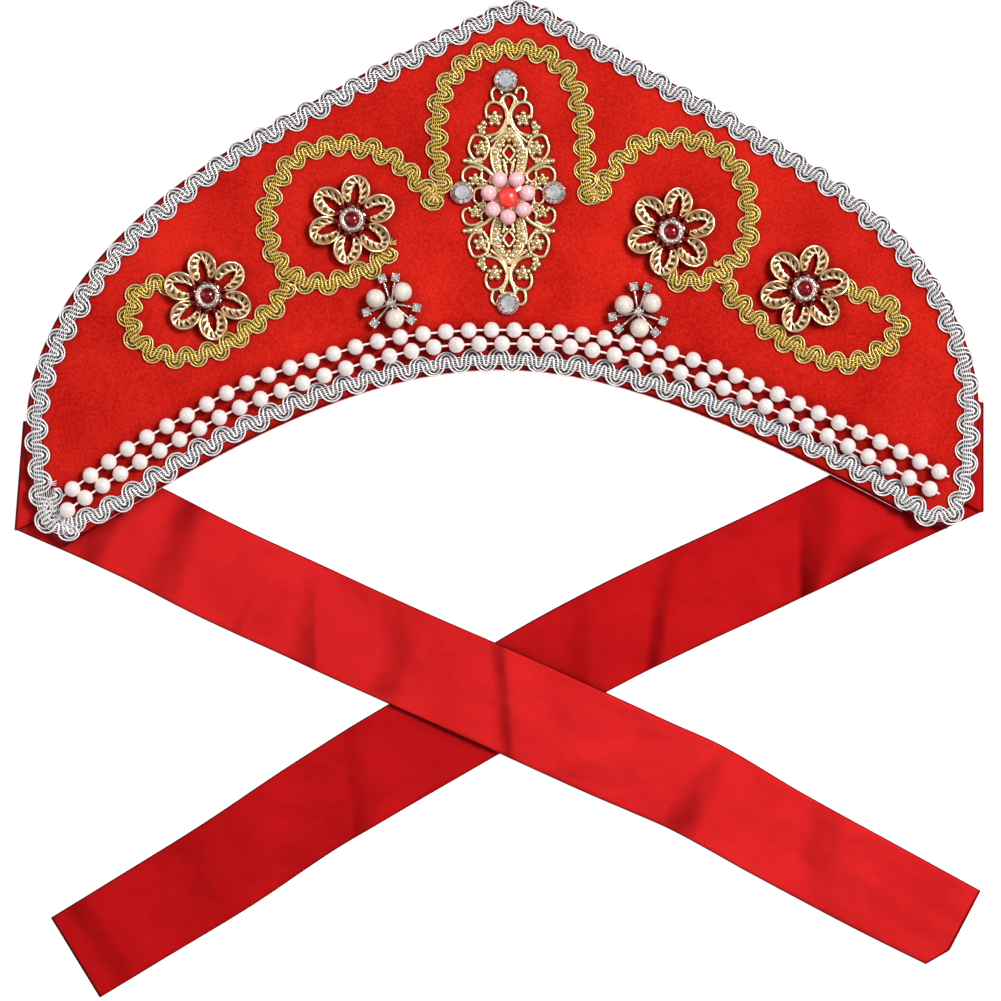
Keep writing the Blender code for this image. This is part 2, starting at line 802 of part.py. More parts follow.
def main():
    clear_scene()
    parts = new_collection("crown_headband")
    helpers = new_collection("joined_pieces")
    make_panel(parts)
    make_braids(parts, helpers)
    make_pearl_row("pearl_string_upper", PEARL_ROW_UPPER, lambda x: 0.0, parts)
    make_pearl_row("pearl_string_lower", PEARL_ROW_LOWER, lower_row_lift, parts)
    make_tie("left", TIE_LEFT, 1, parts)
    make_tie("right", TIE_RIGHT, -1, parts)
    make_flowers(parts, helpers)
    make_centrepiece(parts)
    for side, spot in SPRAYS.items():
        make_spray(side, spot, parts, helpers)


main()
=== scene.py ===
# Crown headband laid flat: satin panel and ties, gimp braid, pearl strings, filigree and stones
# Lengths in the dictionaries are millimetres; mm turns them into Blender's metres

import math

import bpy
import numpy as np
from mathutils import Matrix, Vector, noise


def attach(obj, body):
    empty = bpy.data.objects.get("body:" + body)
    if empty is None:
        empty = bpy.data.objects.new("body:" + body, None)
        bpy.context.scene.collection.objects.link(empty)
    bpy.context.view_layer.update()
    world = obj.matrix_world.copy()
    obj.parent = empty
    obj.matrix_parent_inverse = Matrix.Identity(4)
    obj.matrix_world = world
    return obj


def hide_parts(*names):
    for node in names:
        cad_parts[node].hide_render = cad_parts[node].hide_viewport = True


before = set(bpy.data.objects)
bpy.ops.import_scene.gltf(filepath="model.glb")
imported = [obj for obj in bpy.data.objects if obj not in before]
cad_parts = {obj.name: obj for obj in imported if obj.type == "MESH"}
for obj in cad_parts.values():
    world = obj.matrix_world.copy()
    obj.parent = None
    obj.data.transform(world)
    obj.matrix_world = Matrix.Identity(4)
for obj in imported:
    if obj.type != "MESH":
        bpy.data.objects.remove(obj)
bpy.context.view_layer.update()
mm = 0.001
print("frame loaded:", len(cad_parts), "nodes")


# Paths and little meshes that every piece is made from

def unit(vectors):
    return vectors / np.maximum(np.linalg.norm(vectors, axis=-1, keepdims=True), 1e-9)


def curvePoints(rows, perSpan=8):
    # points of a smooth curve through the rows, bezier handles a third of each span
    knots = np.array(rows, float)
    spans = np.diff(knots, axis=0)
    ways = unit(spans)
    slopes = np.vstack([ways[:1], unit(ways[:-1] + ways[1:]), ways[-1:]])
    share = np.linspace(0, 1, perSpan + 1)[1:, None]
    path = [knots[:1]]
    for k, span in enumerate(spans):
        reach = np.linalg.norm(span) / 3
        lead = knots[k] + slopes[k] * reach
        trail = knots[k + 1] - slopes[k + 1] * reach
        path.append(
            knots[k] * (1 - share) ** 3
            + 3 * lead * share * (1 - share) ** 2
            + 3 * trail * share**2 * (1 - share)
            + knots[k + 1] * share**3
        )
    return np.vstack(path)


def pathReach(path):
    # distance run at each point of the path
    return np.concatenate([[0], np.cumsum(np.linalg.norm(np.diff(path, axis=0), axis=1))])


def pointsAt(path, distances):
    reach = pathReach(path)
    return np.column_stack([np.interp(distances, reach, column) for column in path.T])


def evenPath(path, count):
    return pointsAt(path, np.linspace(0, pathReach(path)[-1], count))


def flatNormals(path):
    ways = unit(np.gradient(path[:, :2], axis=0))
    return np.column_stack([-ways[:, 1], ways[:, 0]])


def newPot():
    # loose parts collect here and become one mesh
    return {"points": [], "faces": [], "finish": [], "smooth": [], "count": 0}


def addPart(pot, points, faces, finish=0, smooth=True):
    points = np.asarray(points, float)
    base = pot["count"]
    pot["points"].append(points)
    pot["faces"].extend([[corner + base for corner in face] for face in faces])
    pot["finish"].extend([finish] * len(faces))
    pot["smooth"].extend([smooth] * len(faces))
    pot["count"] += len(points)


def buildPiece(name, pot, finishes, replaces):
    mesh = bpy.data.meshes.new(name)
    mesh.from_pydata((np.vstack(pot["points"]) * mm).tolist(), [], pot["faces"])
    for finish in finishes:
        mesh.materials.append(finish)
    mesh.polygons.foreach_set("material_index", pot["finish"])
    mesh.polygons.foreach_set("use_smooth", pot["smooth"])
    mesh.update()
    piece = bpy.data.objects.new(name, mesh)
    bpy.context.scene.collection.objects.link(piece)
    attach(piece, "root")
    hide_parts(*replaces)
    return piece


def loopFaces(rings, sides, capped=True):
    # quads between rings of equal size, with a cap on each end
    faces = []
    for ring in range(rings - 1):
        for side in range(sides):
            after = (side + 1) % sides
            low, high = ring * sides, (ring + 1) * sides
            faces.append([low + side, low + after, high + after, high + side])
    if capped:
        faces.append(list(range(sides))[::-1])
        faces.append([(rings - 1) * sides + side for side in range(sides)])
    return faces


def tubeAlong(path, radius, sides=6, squash=1.0):
    # a tube of round or flattened section; radius may change along it
    path = np.asarray(path, float)
    ways = unit(np.gradient(path, axis=0))
    upright = np.abs(ways[:, 2:]) > 0.9
    aside = unit(np.cross(np.where(upright, [1.0, 0.0, 0.0], [0.0, 0.0, 1.0]), ways))
    above = np.cross(ways, aside)
    turns = (np.arange(sides) + 0.5) * 2 * math.pi / sides
    radius = np.broadcast_to(np.asarray(radius, float), (len(path),))[:, None, None]
    ring = np.cos(turns)[None, :, None] * aside[:, None]
    ring += np.sin(turns)[None, :, None] * above[:, None] * squash
    return (path[:, None] + ring * radius).reshape(-1, 3), loopFaces(len(path), sides)


def ball(centre, radius, sides=12, rings=8, squash=1.0):
    tilts = math.pi * np.arange(1, rings) / rings
    bands, faces = turned(np.column_stack([np.sin(tilts), -np.cos(tilts)]), sides)
    spots = np.vstack([(0, 0, -1), bands, (0, 0, 1)])
    faces = [[corner + 1 for corner in face] for face in faces[:-2]]
    last = len(spots) - 1
    for side in range(sides):
        after = (side + 1) % sides
        faces.append([0, 1 + after, 1 + side])
        faces.append([last, last - sides + side, last - sides + after])
    return spots * [radius, radius, radius * squash] + np.asarray(centre, float), faces


def turned(profile, sides, centre=(0, 0, 0)):
    # rings of (radius, height) about the upright axis, closed at both ends
    turns = np.arange(sides) * 2 * math.pi / sides
    rings = [
        np.column_stack([radius * np.cos(turns), radius * np.sin(turns), np.full(sides, height)])
        for radius, height in profile
    ]
    return np.vstack(rings) + np.asarray(centre, float), loopFaces(len(profile), sides)


def polar(centre, reach, degrees):
    turn = math.radians(degrees)
    return centre[0] + reach * math.cos(turn), centre[1] + reach * math.sin(turn)


def cutStone(centre, radius, height, sides=8, table=0.55, dip=0.0, twist=0.0):
    # a cut stone: girdle, two rows of crown facets and a table, dipped where the foil's star shows
    rows = ((1.0, 0.0, 0), (1.0, 0.28, 0), (0.82, 0.68, 0.5), (table, 1.0, 0))  # reach, height, turn
    points = []
    for share, rise, shift in rows:
        for side in range(sides):
            spot = polar((0, 0), radius * share, twist + 360 * (side + shift) / sides)
            points.append((*spot, height * rise))
    points.append((0, 0, height - dip))
    faces = [list(range(sides))[::-1]]
    for side in range(sides):
        after = (side + 1) % sides
        girdle, crown, top = sides + side, 2 * sides + side, 3 * sides + side
        nextGirdle, nextCrown, nextTop = sides + after, 2 * sides + after, 3 * sides + after
        faces.append([side, after, nextGirdle, girdle])
        faces.append([girdle, nextGirdle, crown])
        faces.append([nextGirdle, nextCrown, nextTop, crown])
        faces.append([top, crown, nextTop])
        faces.append([4 * sides, top, nextTop])
    return np.array(points) + np.asarray(centre, float), faces


def placed(points, spot, turn):
    # turns points about Z by degrees, then moves them to (x, y)
    c, s = math.cos(math.radians(turn)), math.sin(math.radians(turn))
    points = np.asarray(points, float)
    x, y = points[:, 0] * c - points[:, 1] * s, points[:, 0] * s + points[:, 1] * c
    return np.column_stack([x + spot[0], y + spot[1], points[:, 2]])


# Finishes

def addNode(tree, kind, **settings):
    # a setting that names an input takes a value or another node's output
    node = tree.nodes.new(kind)
    for key, value in settings.items():
        if key in node.inputs:
            feed(tree, node.inputs[key], value)
        else:
            setattr(node, key, value)
    return node


def feed(tree, socket, value):
    if isinstance(value, bpy.types.NodeSocket):
        tree.links.new(value, socket)
    else:
        socket.default_value = value


def addMath(tree, operation, *values):
    node = addNode(tree, "ShaderNodeMath", operation=operation)
    for socket, value in zip(node.inputs, values):
        feed(tree, socket, value)
    return node.outputs[0]


def addNoise(tree, spots, scale, detail=2.0, rough=0.5):
    node = addNode(tree, "ShaderNodeTexNoise", Vector=spots, Scale=scale, Detail=detail, Roughness=rough)
    return node.outputs["Fac"]


def addBlend(tree, share, first, second):
    node = addNode(tree, "ShaderNodeMix", data_type="FLOAT", Factor=share, A=first, B=second)
    return node.outputs["Result"]


def mottled(name, shades, grain, bump, sockets, cloud=None, weave=None, paintedShading=None):
    # shades run along a noise of `grain` per metre; bump is (noise per metre, depth in mm)
    material = bpy.data.materials.new(name)
    material.use_nodes = True
    tree = material.node_tree
    texture = addNode(tree, "ShaderNodeTexCoord")
    spots = texture.outputs["Object"]
    value = addNoise(tree, spots, grain, 3.0, 0.6)
    if cloud:  # a broad drift of tone under the fine grain
        value = addBlend(tree, cloud[1], value, addNoise(tree, spots, cloud[0]))
    ramp = addNode(tree, "ShaderNodeValToRGB", Fac=value)
    for element, place, shade in zip(ramp.color_ramp.elements, (0.34, 0.66), shades):
        element.position = place
        element.color = (*shade, 1)
    colour = ramp.outputs["Color"]
    if paintedShading:  # painted light and shade: the colour moves to `shade` where the surface turns away from level and, given `near`, where another surface lies close (a painted contact shadow)
        level = addNode(tree, "ShaderNodeSeparateXYZ", Vector=texture.outputs["Normal"])
        share = addMath(tree, "POWER", addMath(tree, "ABSOLUTE", level.outputs["Z"]), paintedShading["power"])
        if "near" in paintedShading:
            paintedOcclusion = addNode(tree, "ShaderNodeAmbientOcclusion", samples=6, Distance=paintedShading["near"] * mm)
            share = addMath(tree, "MULTIPLY", share, paintedOcclusion.outputs["AO"])
        paintedShadingMix = addNode(tree, "ShaderNodeMixRGB", Fac=share, Color1=(*paintedShading["shade"], 1), Color2=colour)
        colour = paintedShadingMix.outputs["Color"]
    height = addNoise(tree, spots, bump[0])
    if weave:  # fine threads running both ways, turned to the cloth's own direction
        turn = (0, 0, math.radians(weave["turn"]))
        mapping = addNode(tree, "ShaderNodeMapping", Vector=spots, Rotation=turn)
        threads = []
        for way in ("X", "Y"):
            wave = addNode(
                tree, "ShaderNodeTexWave", bands_direction=way, Vector=mapping.outputs["Vector"],
                Scale=weave["scale"], Distortion=1.2,
            )
            threads.append(wave.outputs["Fac"])
        height = addBlend(tree, 0.5, height, addMath(tree, "MAXIMUM", *threads))
    relief = addNode(tree, "ShaderNodeBump", Strength=1.0, Distance=bump[1] * mm, Height=height)
    shader = tree.nodes["Principled BSDF"]
    for socket, value in {**sockets, "Base Color": colour, "Normal": relief.outputs["Normal"]}.items():
        feed(tree, shader.inputs[socket], value)
    return material


clothLook = {"Metallic": 0.35, "Roughness": 0.55, "Specular IOR Level": 0.05}
# the satin darkens where it turns down at its edges and beside the parts sewn on it: painted shade and
# painted contact shadow
panelSatinFinish = mottled(
    "panelSatinFinish", ((0.37, 0.004, 0.002), (0.66, 0.020, 0.0105)), 1000, (2600, 0.025),
    {**clothLook, "Roughness": 0.72},
    cloud=(35, 0.45), weave={"turn": 8, "scale": 820},
    paintedShading={"power": 5, "shade": (0.10, 0.001, 0.002), "near": 5.0},
)
# the ties darken on the slopes of their folds and beside other parts: painted shade and painted contact
# shadow
leftTieFinish = mottled(
    "leftTieFinish", ((0.47, 0.008, 0.0085), (0.60, 0.0138, 0.0155)), 1500, (2600, 0.012), clothLook,
    cloud=(28, 0.6), weave={"turn": 25, "scale": 980},
    paintedShading={"power": 24, "shade": (0.16, 0.0003, 0.0006), "near": 5.0},
)
rightTieFinish = mottled(
    "rightTieFinish", ((0.35, 0.0025, 0.0035), (0.47, 0.0045, 0.0064)), 1500, (2600, 0.012), clothLook,
    cloud=(28, 0.6), weave={"turn": -29, "scale": 980},
    paintedShading={"power": 20, "shade": (0.12, 0.0003, 0.0006), "near": 5.0},
)
silverOuter = mottled(
    "silverOuter", ((0.80, 0.71, 0.73), (0.99, 0.95, 0.96)), 900, (2400, 0.05),
    {"Metallic": 0.35, "Roughness": 0.34},
)
silverInner = mottled(
    "silverInner", ((0.52, 0.50, 0.51), (0.96, 0.94, 0.95)), 900, (2400, 0.06),
    {"Metallic": 0.5, "Roughness": 0.32},
)
# a near-black band under the silver cords: painted shade in the gaps between them
silverShadeBacking = mottled(
    "silverShadeBacking", ((0.012, 0.010, 0.010), (0.05, 0.045, 0.045)), 1500, (2400, 0.05),
    {"Metallic": 0.2, "Roughness": 0.6},
)
goldOuter = mottled(
    "goldOuter", ((0.64, 0.37, 0.13), (0.93, 0.68, 0.34)), 900, (2400, 0.05),
    {"Metallic": 0.4, "Roughness": 0.32},
)
goldInner = mottled(
    "goldInner", ((0.42, 0.26, 0.015), (0.93, 0.69, 0.11)), 900, (2400, 0.06),
    {"Metallic": 0.5, "Roughness": 0.30},
)
# a dark brown backing under the gold cords and the flowers' slots: painted shade in the gaps
goldShadeBacking = mottled(
    "goldShadeBacking", ((0.030, 0.017, 0.004), (0.08, 0.045, 0.009)), 1500, (2400, 0.05),
    {"Metallic": 0.3, "Roughness": 0.6},
)
pearlLook = {
    "Roughness": 0.25, "Coat Weight": 0.6, "Coat Roughness": 0.14, "Sheen Roughness": 0.35,
    "Specular IOR Level": 0.6,
}
# the pearls' steep sides are painted lighter and pinker than their tops: a painted rim highlight
pearlFinish = mottled(
    "pearlFinish", ((0.66, 0.62, 0.60), (0.74, 0.72, 0.70)), 500, (900, 0.01),
    {**pearlLook, "Sheen Weight": 0.9, "Sheen Tint": (1.0, 0.66, 0.66, 1), "Specular IOR Level": 0.5},
    paintedShading={"power": 1.5, "shade": (1.0, 0.86, 0.84)},
)
creamPearlFinish = mottled(
    "creamPearlFinish", ((0.64, 0.56, 0.48), (0.80, 0.74, 0.66)), 320, (900, 0.01),
    {**pearlLook, "Sheen Weight": 0.4, "Sheen Tint": (1.0, 0.70, 0.66, 1)},
)
pinkPearlFinish = mottled(
    "pinkPearlFinish", ((0.86, 0.40, 0.44), (0.96, 0.60, 0.63)), 450, (900, 0.01),
    pearlLook,
)
threadFinish = mottled(
    "threadFinish", ((0.80, 0.62, 0.60), (0.92, 0.80, 0.78)), 900, (3000, 0.03), {"Roughness": 0.6},
)
# light pink for the line along the brow edge: partly its fraying, partly a painted highlight on the turned
# edge
edgeFrayHighlight = mottled(
    "edgeFrayHighlight", ((0.80, 0.20, 0.20), (0.92, 0.42, 0.42)), 900, (3000, 0.03), {"Roughness": 0.5},
)
# paleGold darkens where its surfaces face sideways: painted shade
paleGold = mottled(
    "paleGold", ((0.88, 0.54, 0.26), (1.0, 0.80, 0.54)), 500, (1500, 0.02),
    {"Metallic": 0.85, "Roughness": 0.28}, paintedShading={"power": 1.8, "shade": (0.66, 0.36, 0.13)},
)
# oldGold darkens where its surfaces face sideways: painted shade
oldGold = mottled(
    "oldGold", ((0.78, 0.55, 0.26), (1.0, 0.84, 0.56)), 420, (1800, 0.04),
    {"Metallic": 0.75, "Roughness": 0.24}, paintedShading={"power": 1.3, "shade": (0.42, 0.29, 0.06)},
)
silverMetal = mottled(
    "silverMetal", ((0.62, 0.52, 0.44), (0.98, 0.90, 0.84)), 500, (1500, 0.02),
    {"Metallic": 0.95, "Roughness": 0.24},
)
foilStone = mottled(
    "foilStone", ((0.58, 0.60, 0.62), (0.94, 0.95, 0.96)), 350, (700, 0.008),
    {"Metallic": 0.8, "Roughness": 0.10, "Coat Weight": 1.0, "Coat Roughness": 0.03},
)
garnetFinish = mottled(
    "garnetFinish", ((0.07, 0.001, 0.002), (0.34, 0.003, 0.007)), 500, (700, 0.008),
    {"Metallic": 0.5, "Roughness": 0.14, "Coat Weight": 0.7, "Coat Roughness": 0.03, "Coat IOR": 1.45,
     "Specular IOR Level": 0.1},
)
coralFinish = mottled(
    "coralFinish", ((0.82, 0.022, 0.020), (0.95, 0.055, 0.045)), 300, (500, 0.01),
    {"Roughness": 0.30, "Coat Weight": 0.4, "Coat Roughness": 0.2},
)
print("finishes ready")


# Crown panel: satin pulled over a stiff board

panelShape = {
    "back": 2.6,  # underside above the surface that the ties lie on
    "top": 6.6,
    "round": 1.9,  # radius of the turned edge
    "fall": 0.9,  # how far the cloth sinks towards the edge
    "fallReach": 4.5,
    "ease": 7.0,  # the swells and ripples grow to their height over this distance from the edge
    # a thin light thread along the brow edge: partly fraying, partly a painted highlight on the turned edge
    "edgeLine": {"inset": 0.15, "lift": 0.3, "radius": 0.16},
    "across": 64,  # points from the brow to the sides
    "along": 300,  # sections from corner to corner
    "browRise": 49.1,
    "browReach": {"left": 112.5, "right": 90.0},
    "browDepth": {"left": 86.9, "right": 55.7},
    "browEnds": (-152.0, 155.0),
    "sides": [  # x, y, and how far in from the edge the braid's middle runs
        (-163.5, -17.4, 5.0), (-170.6, -11.4, 4.5), (-174.8, -1.7, 4.1), (-178.1, 26.4, 4.2),
        (-174.0, 50.8, 4.4), (-157.5, 82.3, 4.8), (-123.8, 116.4, 3.6), (-67.5, 151.3, 3.3),
        (-22.5, 174.9, 3.3), (0.0, 185.1, 2.9), (8.3, 186.9, 3.0), (15.0, 185.1, 3.4),
        (33.8, 174.2, 3.0), (78.8, 148.7, 2.9), (123.8, 120.9, 2.4), (157.5, 91.3, 2.8),
        (176.6, 54.6, 3.4), (180.0, 30.2, 4.1), (176.3, 5.8, 4.1), (172.5, -3.6, 3.9),
        (167.6, -10.7, 4.2),
    ],
    "ripples": [(0.22, 17.0, 17.0, 0.3), (0.07, 5.5, 8.0, 4.0)],  # height, reach in x and y, seed
    "swells": [  # soft rises in the cloth: x, y, reach, height
        (-120, 95, 26, 0.25), (-95, 20, 30, 0.30), (150, 22, 22, 0.30), (120, 100, 34, 0.30),
        (-60, 135, 26, 0.20), (45, 130, 30, 0.25), (0, 95, 40, 0.15), (-150, 20, 22, 0.35),
    ],
}


def browHeight(x):
    side = "left" if x < 0 else "right"
    reach, depth = panelShape["browReach"][side], panelShape["browDepth"][side]
    return panelShape["browRise"] - depth * (math.sqrt(1 + (x / reach) ** 2) - 1)


def panelRelief(x, y):
    height = 0.0
    for centreX, centreY, reach, rise in panelShape["swells"]:
        height += rise * math.exp(-((x - centreX) ** 2 + (y - centreY) ** 2) / reach**2)
    for rise, reachX, reachY, seed in panelShape["ripples"]:
        height += rise * noise.noise(Vector((x / reachX, y / reachY, seed)))
    return height


def makePanel():
    shape = panelShape
    outer = evenPath(curvePoints([row[:2] for row in shape["sides"]]), shape["along"])
    browX = np.linspace(*shape["browEnds"], 400)
    brow = evenPath(np.array([(x, browHeight(x)) for x in browX]), shape["along"])
    turn = np.radians([0, 18, 36, 54, 72, 90])
    roundOut = shape["round"] * (1 - np.sin(turn))  # distance in from the edge, on the way down
    roundDrop = shape["round"] * (1 - np.cos(turn))
    middle = (shape["top"] + shape["back"]) / 2
    edgeTop = shape["top"] - shape["fall"] * (1 - shape["round"] / shape["fallReach"]) ** 2
    edgeMiddle = (edgeTop + shape["back"]) / 2
    lower = (edgeTop - shape["back"]) / 2 / shape["round"]
    endFade = np.minimum(pathReach(outer), pathReach(outer)[-1] - pathReach(outer)) / shape["round"]
    endShare = np.sqrt(np.clip(1 - (1 - np.clip(endFade, 0.06, 1)) ** 2, 0, 1))
    pot = newPot()
    rings = []
    for low, high, share in zip(brow, outer, endShare):
        span = high - low
        wide = np.linalg.norm(span)
        way = span / wide
        inner = min(shape["round"], wide / 2.2) / shape["round"]
        steps = np.linspace(shape["round"] * inner, wide - shape["round"] * inner, shape["across"])
        top = [(step, shape["top"], 1) for step in steps]
        sideTop = [
            (wide - out * inner, edgeTop - drop * lower, 0) for out, drop in zip(roundOut[1:], roundDrop[1:])
        ]
        sideLow = [(d, 2 * edgeMiddle - z, 0) for d, z, _ in sideTop[::-1]]
        back = [(step, shape["back"], 0) for step in (steps[-1], wide / 2, steps[0])]
        browLow = [(wide - d, z, 0) for d, z, _ in sideLow[::-1]]
        browTop = [(d, 2 * edgeMiddle - z, 0) for d, z, _ in browLow[::-1]]
        ring = []
        for step, z, lifted in top + sideTop + sideLow + back + browLow + browTop:
            x, y = low + way * step
            if lifted:
                inward = min(step, wide - step)
                z += panelRelief(x, y) * min(inward / shape["ease"], 1.0)
                z -= shape["fall"] * max(1 - inward / shape["fallReach"], 0) ** 2
            ring.append((x, y, middle + (z - middle) * share))
        rings.append(ring)
    sides = len(rings[0])
    addPart(pot, np.array(rings).reshape(-1, 3), loopFaces(len(rings), sides))
    # a thin light thread along the brow edge: partly fraying, partly a painted highlight on the turned edge
    edgeLine = shape["edgeLine"]
    edgeLineTrace = brow - flatNormals(brow) * edgeLine["inset"]
    edgeLinePath = np.column_stack([edgeLineTrace, np.full(len(edgeLineTrace), middle + edgeLine["lift"])])[4:-4]
    addPart(pot, *tubeAlong(edgeLinePath, edgeLine["radius"], 5), 1)
    return buildPiece("panelSatin", pot, [panelSatinFinish, edgeFrayHighlight], ["crown_panel"])


makePanel()  # the panel's own outline
print("panel covered")


# Ties: double satin strips, folded back under the panel's ends and crossed in front

tieShape = {
    "thick": 1.0,
    "floor": 0.03,
    "gap": 0.3,
    "cut": 0.036,  # width of the strip laid flat, in metres
    "across": 30,
    "step": 1.1,  # distance between sections
    "sink": 3.0,  # a fold sinks away over this many times its climb
    "ripple": {"high": 0.35, "fine": 0.10, "finer": 3.1, "rest": 0.15, "along": 15, "across": 11},
    "left": {
        "fold": {"x": -179.85, "y": 9.3, "length": 40.2, "lean": 1.6, "reach": 25.0, "rise": 12.0},
        "rows": [  # x, y, width, slant, lift
            (-134.6, -12.0, 36.0, 0.0, 0.0), (-104.0, -27.5, 36.0, 0.0, 0.2), (-75.4, -40.7, 36.0, 0.0, 0.0),
            (-52.0, -51.5, 36.0, 0.0, 0.8), (-33.0, -60.0, 36.0, 0.0, 2.3), (3.0, -75.9, 36.5, 0.0, 2.6),
            (40.0, -92.8, 36.5, 0.0, 2.0), (57.0, -100.4, 36.0, 0.0, 0.6), (74.0, -108.0, 36.0, 0.0, 0.2),
            (104.4, -125.3, 35.0, 0.0, 0.0), (138.2, -143.6, 34.5, 0.0, 0.4),
            (171.0, -160.9, 33.6, -9.0, 0.0),
        ],
        "clear": (8.0, 34.0),  # folds fade out where the strip runs under the panel
        "tip": {"place": -0.5, "reach": 4.0, "length": 14.0},  # the cut end bulges here across the strip
        "folds": [  # foot and crest along the strip at its lower and upper edge, height, edge, stronger side
            (26, 34, 40, 46, 2.0, "soft", -1.0), (54, 54.5, 75, 69.5, 3.1, "soft", -0.3),
            (95, 96, 101, 101, 0.8, "soft", -1.0), (114, 109, 131, 114, 2.4, "crest", -1.0),
            (150, 150, 166, 160, 1.4, "soft", -1.0), (205, 185, 212, 192, 0.9, "crest", -0.1),
            (270, 279, 289, 287, 2.8, "soft", -0.9), (330, 318, 346, 336, 0.9, "soft", 0.6),
        ],
    },
    "right": {
        "fold": {"x": 180.75, "y": 16.3, "length": 40.5, "lean": 0.0, "reach": -25.0, "rise": 12.0},
        "rows": [
            (141.0, -2.6, 36.0, 0.0, 0.0), (120.2, -12.8, 36.0, 0.0, 0.2), (98.0, -23.5, 36.0, 0.0, 0.0),
            (63.0, -39.8, 36.0, 0.0, 0.2), (45.0, -48.6, 36.0, 0.0, 0.0), (19.7, -62.1, 36.0, 0.0, 0.0),
            (-8.3, -78.6, 36.0, 0.0, 0.0), (-44.0, -99.2, 36.0, 0.0, 0.0), (-58.0, -107.7, 35.5, 0.0, 0.1),
            (-72.0, -116.4, 35.0, 0.0, 0.0), (-103.3, -137.4, 35.0, 0.0, 0.4),
            (-137.6, -158.4, 34.5, 0.0, 0.0), (-160.3, -172.3, 34.4, 0.0, 0.0),
        ],
        "clear": (24.0, 34.0),
        "folds": [
            (83.6, 67.4, 76, 36, 2.2, "foot", -0.2), (150, 126, 141, 116.4, 1.6, "soft", -0.8),
            (188, 168, 173.5, 154.5, 0.9, "crest", -0.4), (276.3, 259.4, 264, 248, 1.2, "foot", -0.6),
            (352, 340, 306, 290, 2.4, "soft", 0.8), (384, 384, 372, 374, 1.1, "soft", 0.3),
        ],
    },
}


def tieSections(tie, towards):
    # middle, half-width vector and height at each section, from the sewn end to the free end
    low = tieShape["thick"] / 2
    bend = (tieShape["thick"] + tieShape["gap"]) / 2
    fold = tie["fold"]
    half = np.array([fold["lean"], fold["length"] / 2])
    line = np.array([fold["x"], fold["y"]])
    sewn = line + [fold["reach"], fold["rise"]]
    tucked = [(*(sewn + (line - sewn) * share), *half, low + 2 * bend) for share in np.linspace(0, 1, 12)]
    for turn in range(20, 180, 20):
        out = -towards * bend * math.sin(math.radians(turn))
        tucked.append((line[0] + out, line[1], *half, low + bend * (1 + math.cos(math.radians(turn)))))
    knots = [(line[0], line[1], fold["length"], 0.0, 0.0)] + tie["rows"]
    ways = unit(np.gradient(np.array(knots)[:, :2], axis=0))
    rows = []
    for (x, y, width, slant, lift), way in zip(knots, ways):
        across = np.array([-way[1], way[0]]) * towards * width / 2
        c, s = math.cos(math.radians(slant)), math.sin(math.radians(slant))
        rows.append((x, y, across[0] * c - across[1] * s, across[0] * s + across[1] * c, low + lift))
    rows[0] = (line[0], line[1], *half, low)
    run = curvePoints(rows, 16)
    run = pointsAt(run, np.arange(0, pathReach(run)[-1], tieShape["step"]))
    return np.array(tucked), run


def foldRelief(fold, reach, share):
    # the strip climbs from a fold's foot to its crest, then sinks away slowly
    footLow, footTop, crestLow, crestTop, high, edge, side = fold
    upper = (share + 1) / 2
    foot = footLow + (footTop - footLow) * upper
    crest = crestLow + (crestTop - crestLow) * upper
    climb = np.clip((reach - foot) / (crest - foot), 0, 1)
    sink = np.clip((reach - crest) / (crest - foot) / tieShape["sink"], 0, 1)
    if edge == "soft":
        rise = climb**2 * (3 - 2 * climb)
    elif edge == "foot":  # a sharp crease at the foot
        rise = np.sin(climb * math.pi / 2)
    else:
        rise = 1 - np.cos(climb * math.pi / 2)
    weight = 1 - abs(side) * (1 - share * math.copysign(1, side)) / 2
    return high * weight * (rise - sink**2 * (3 - 2 * sink))


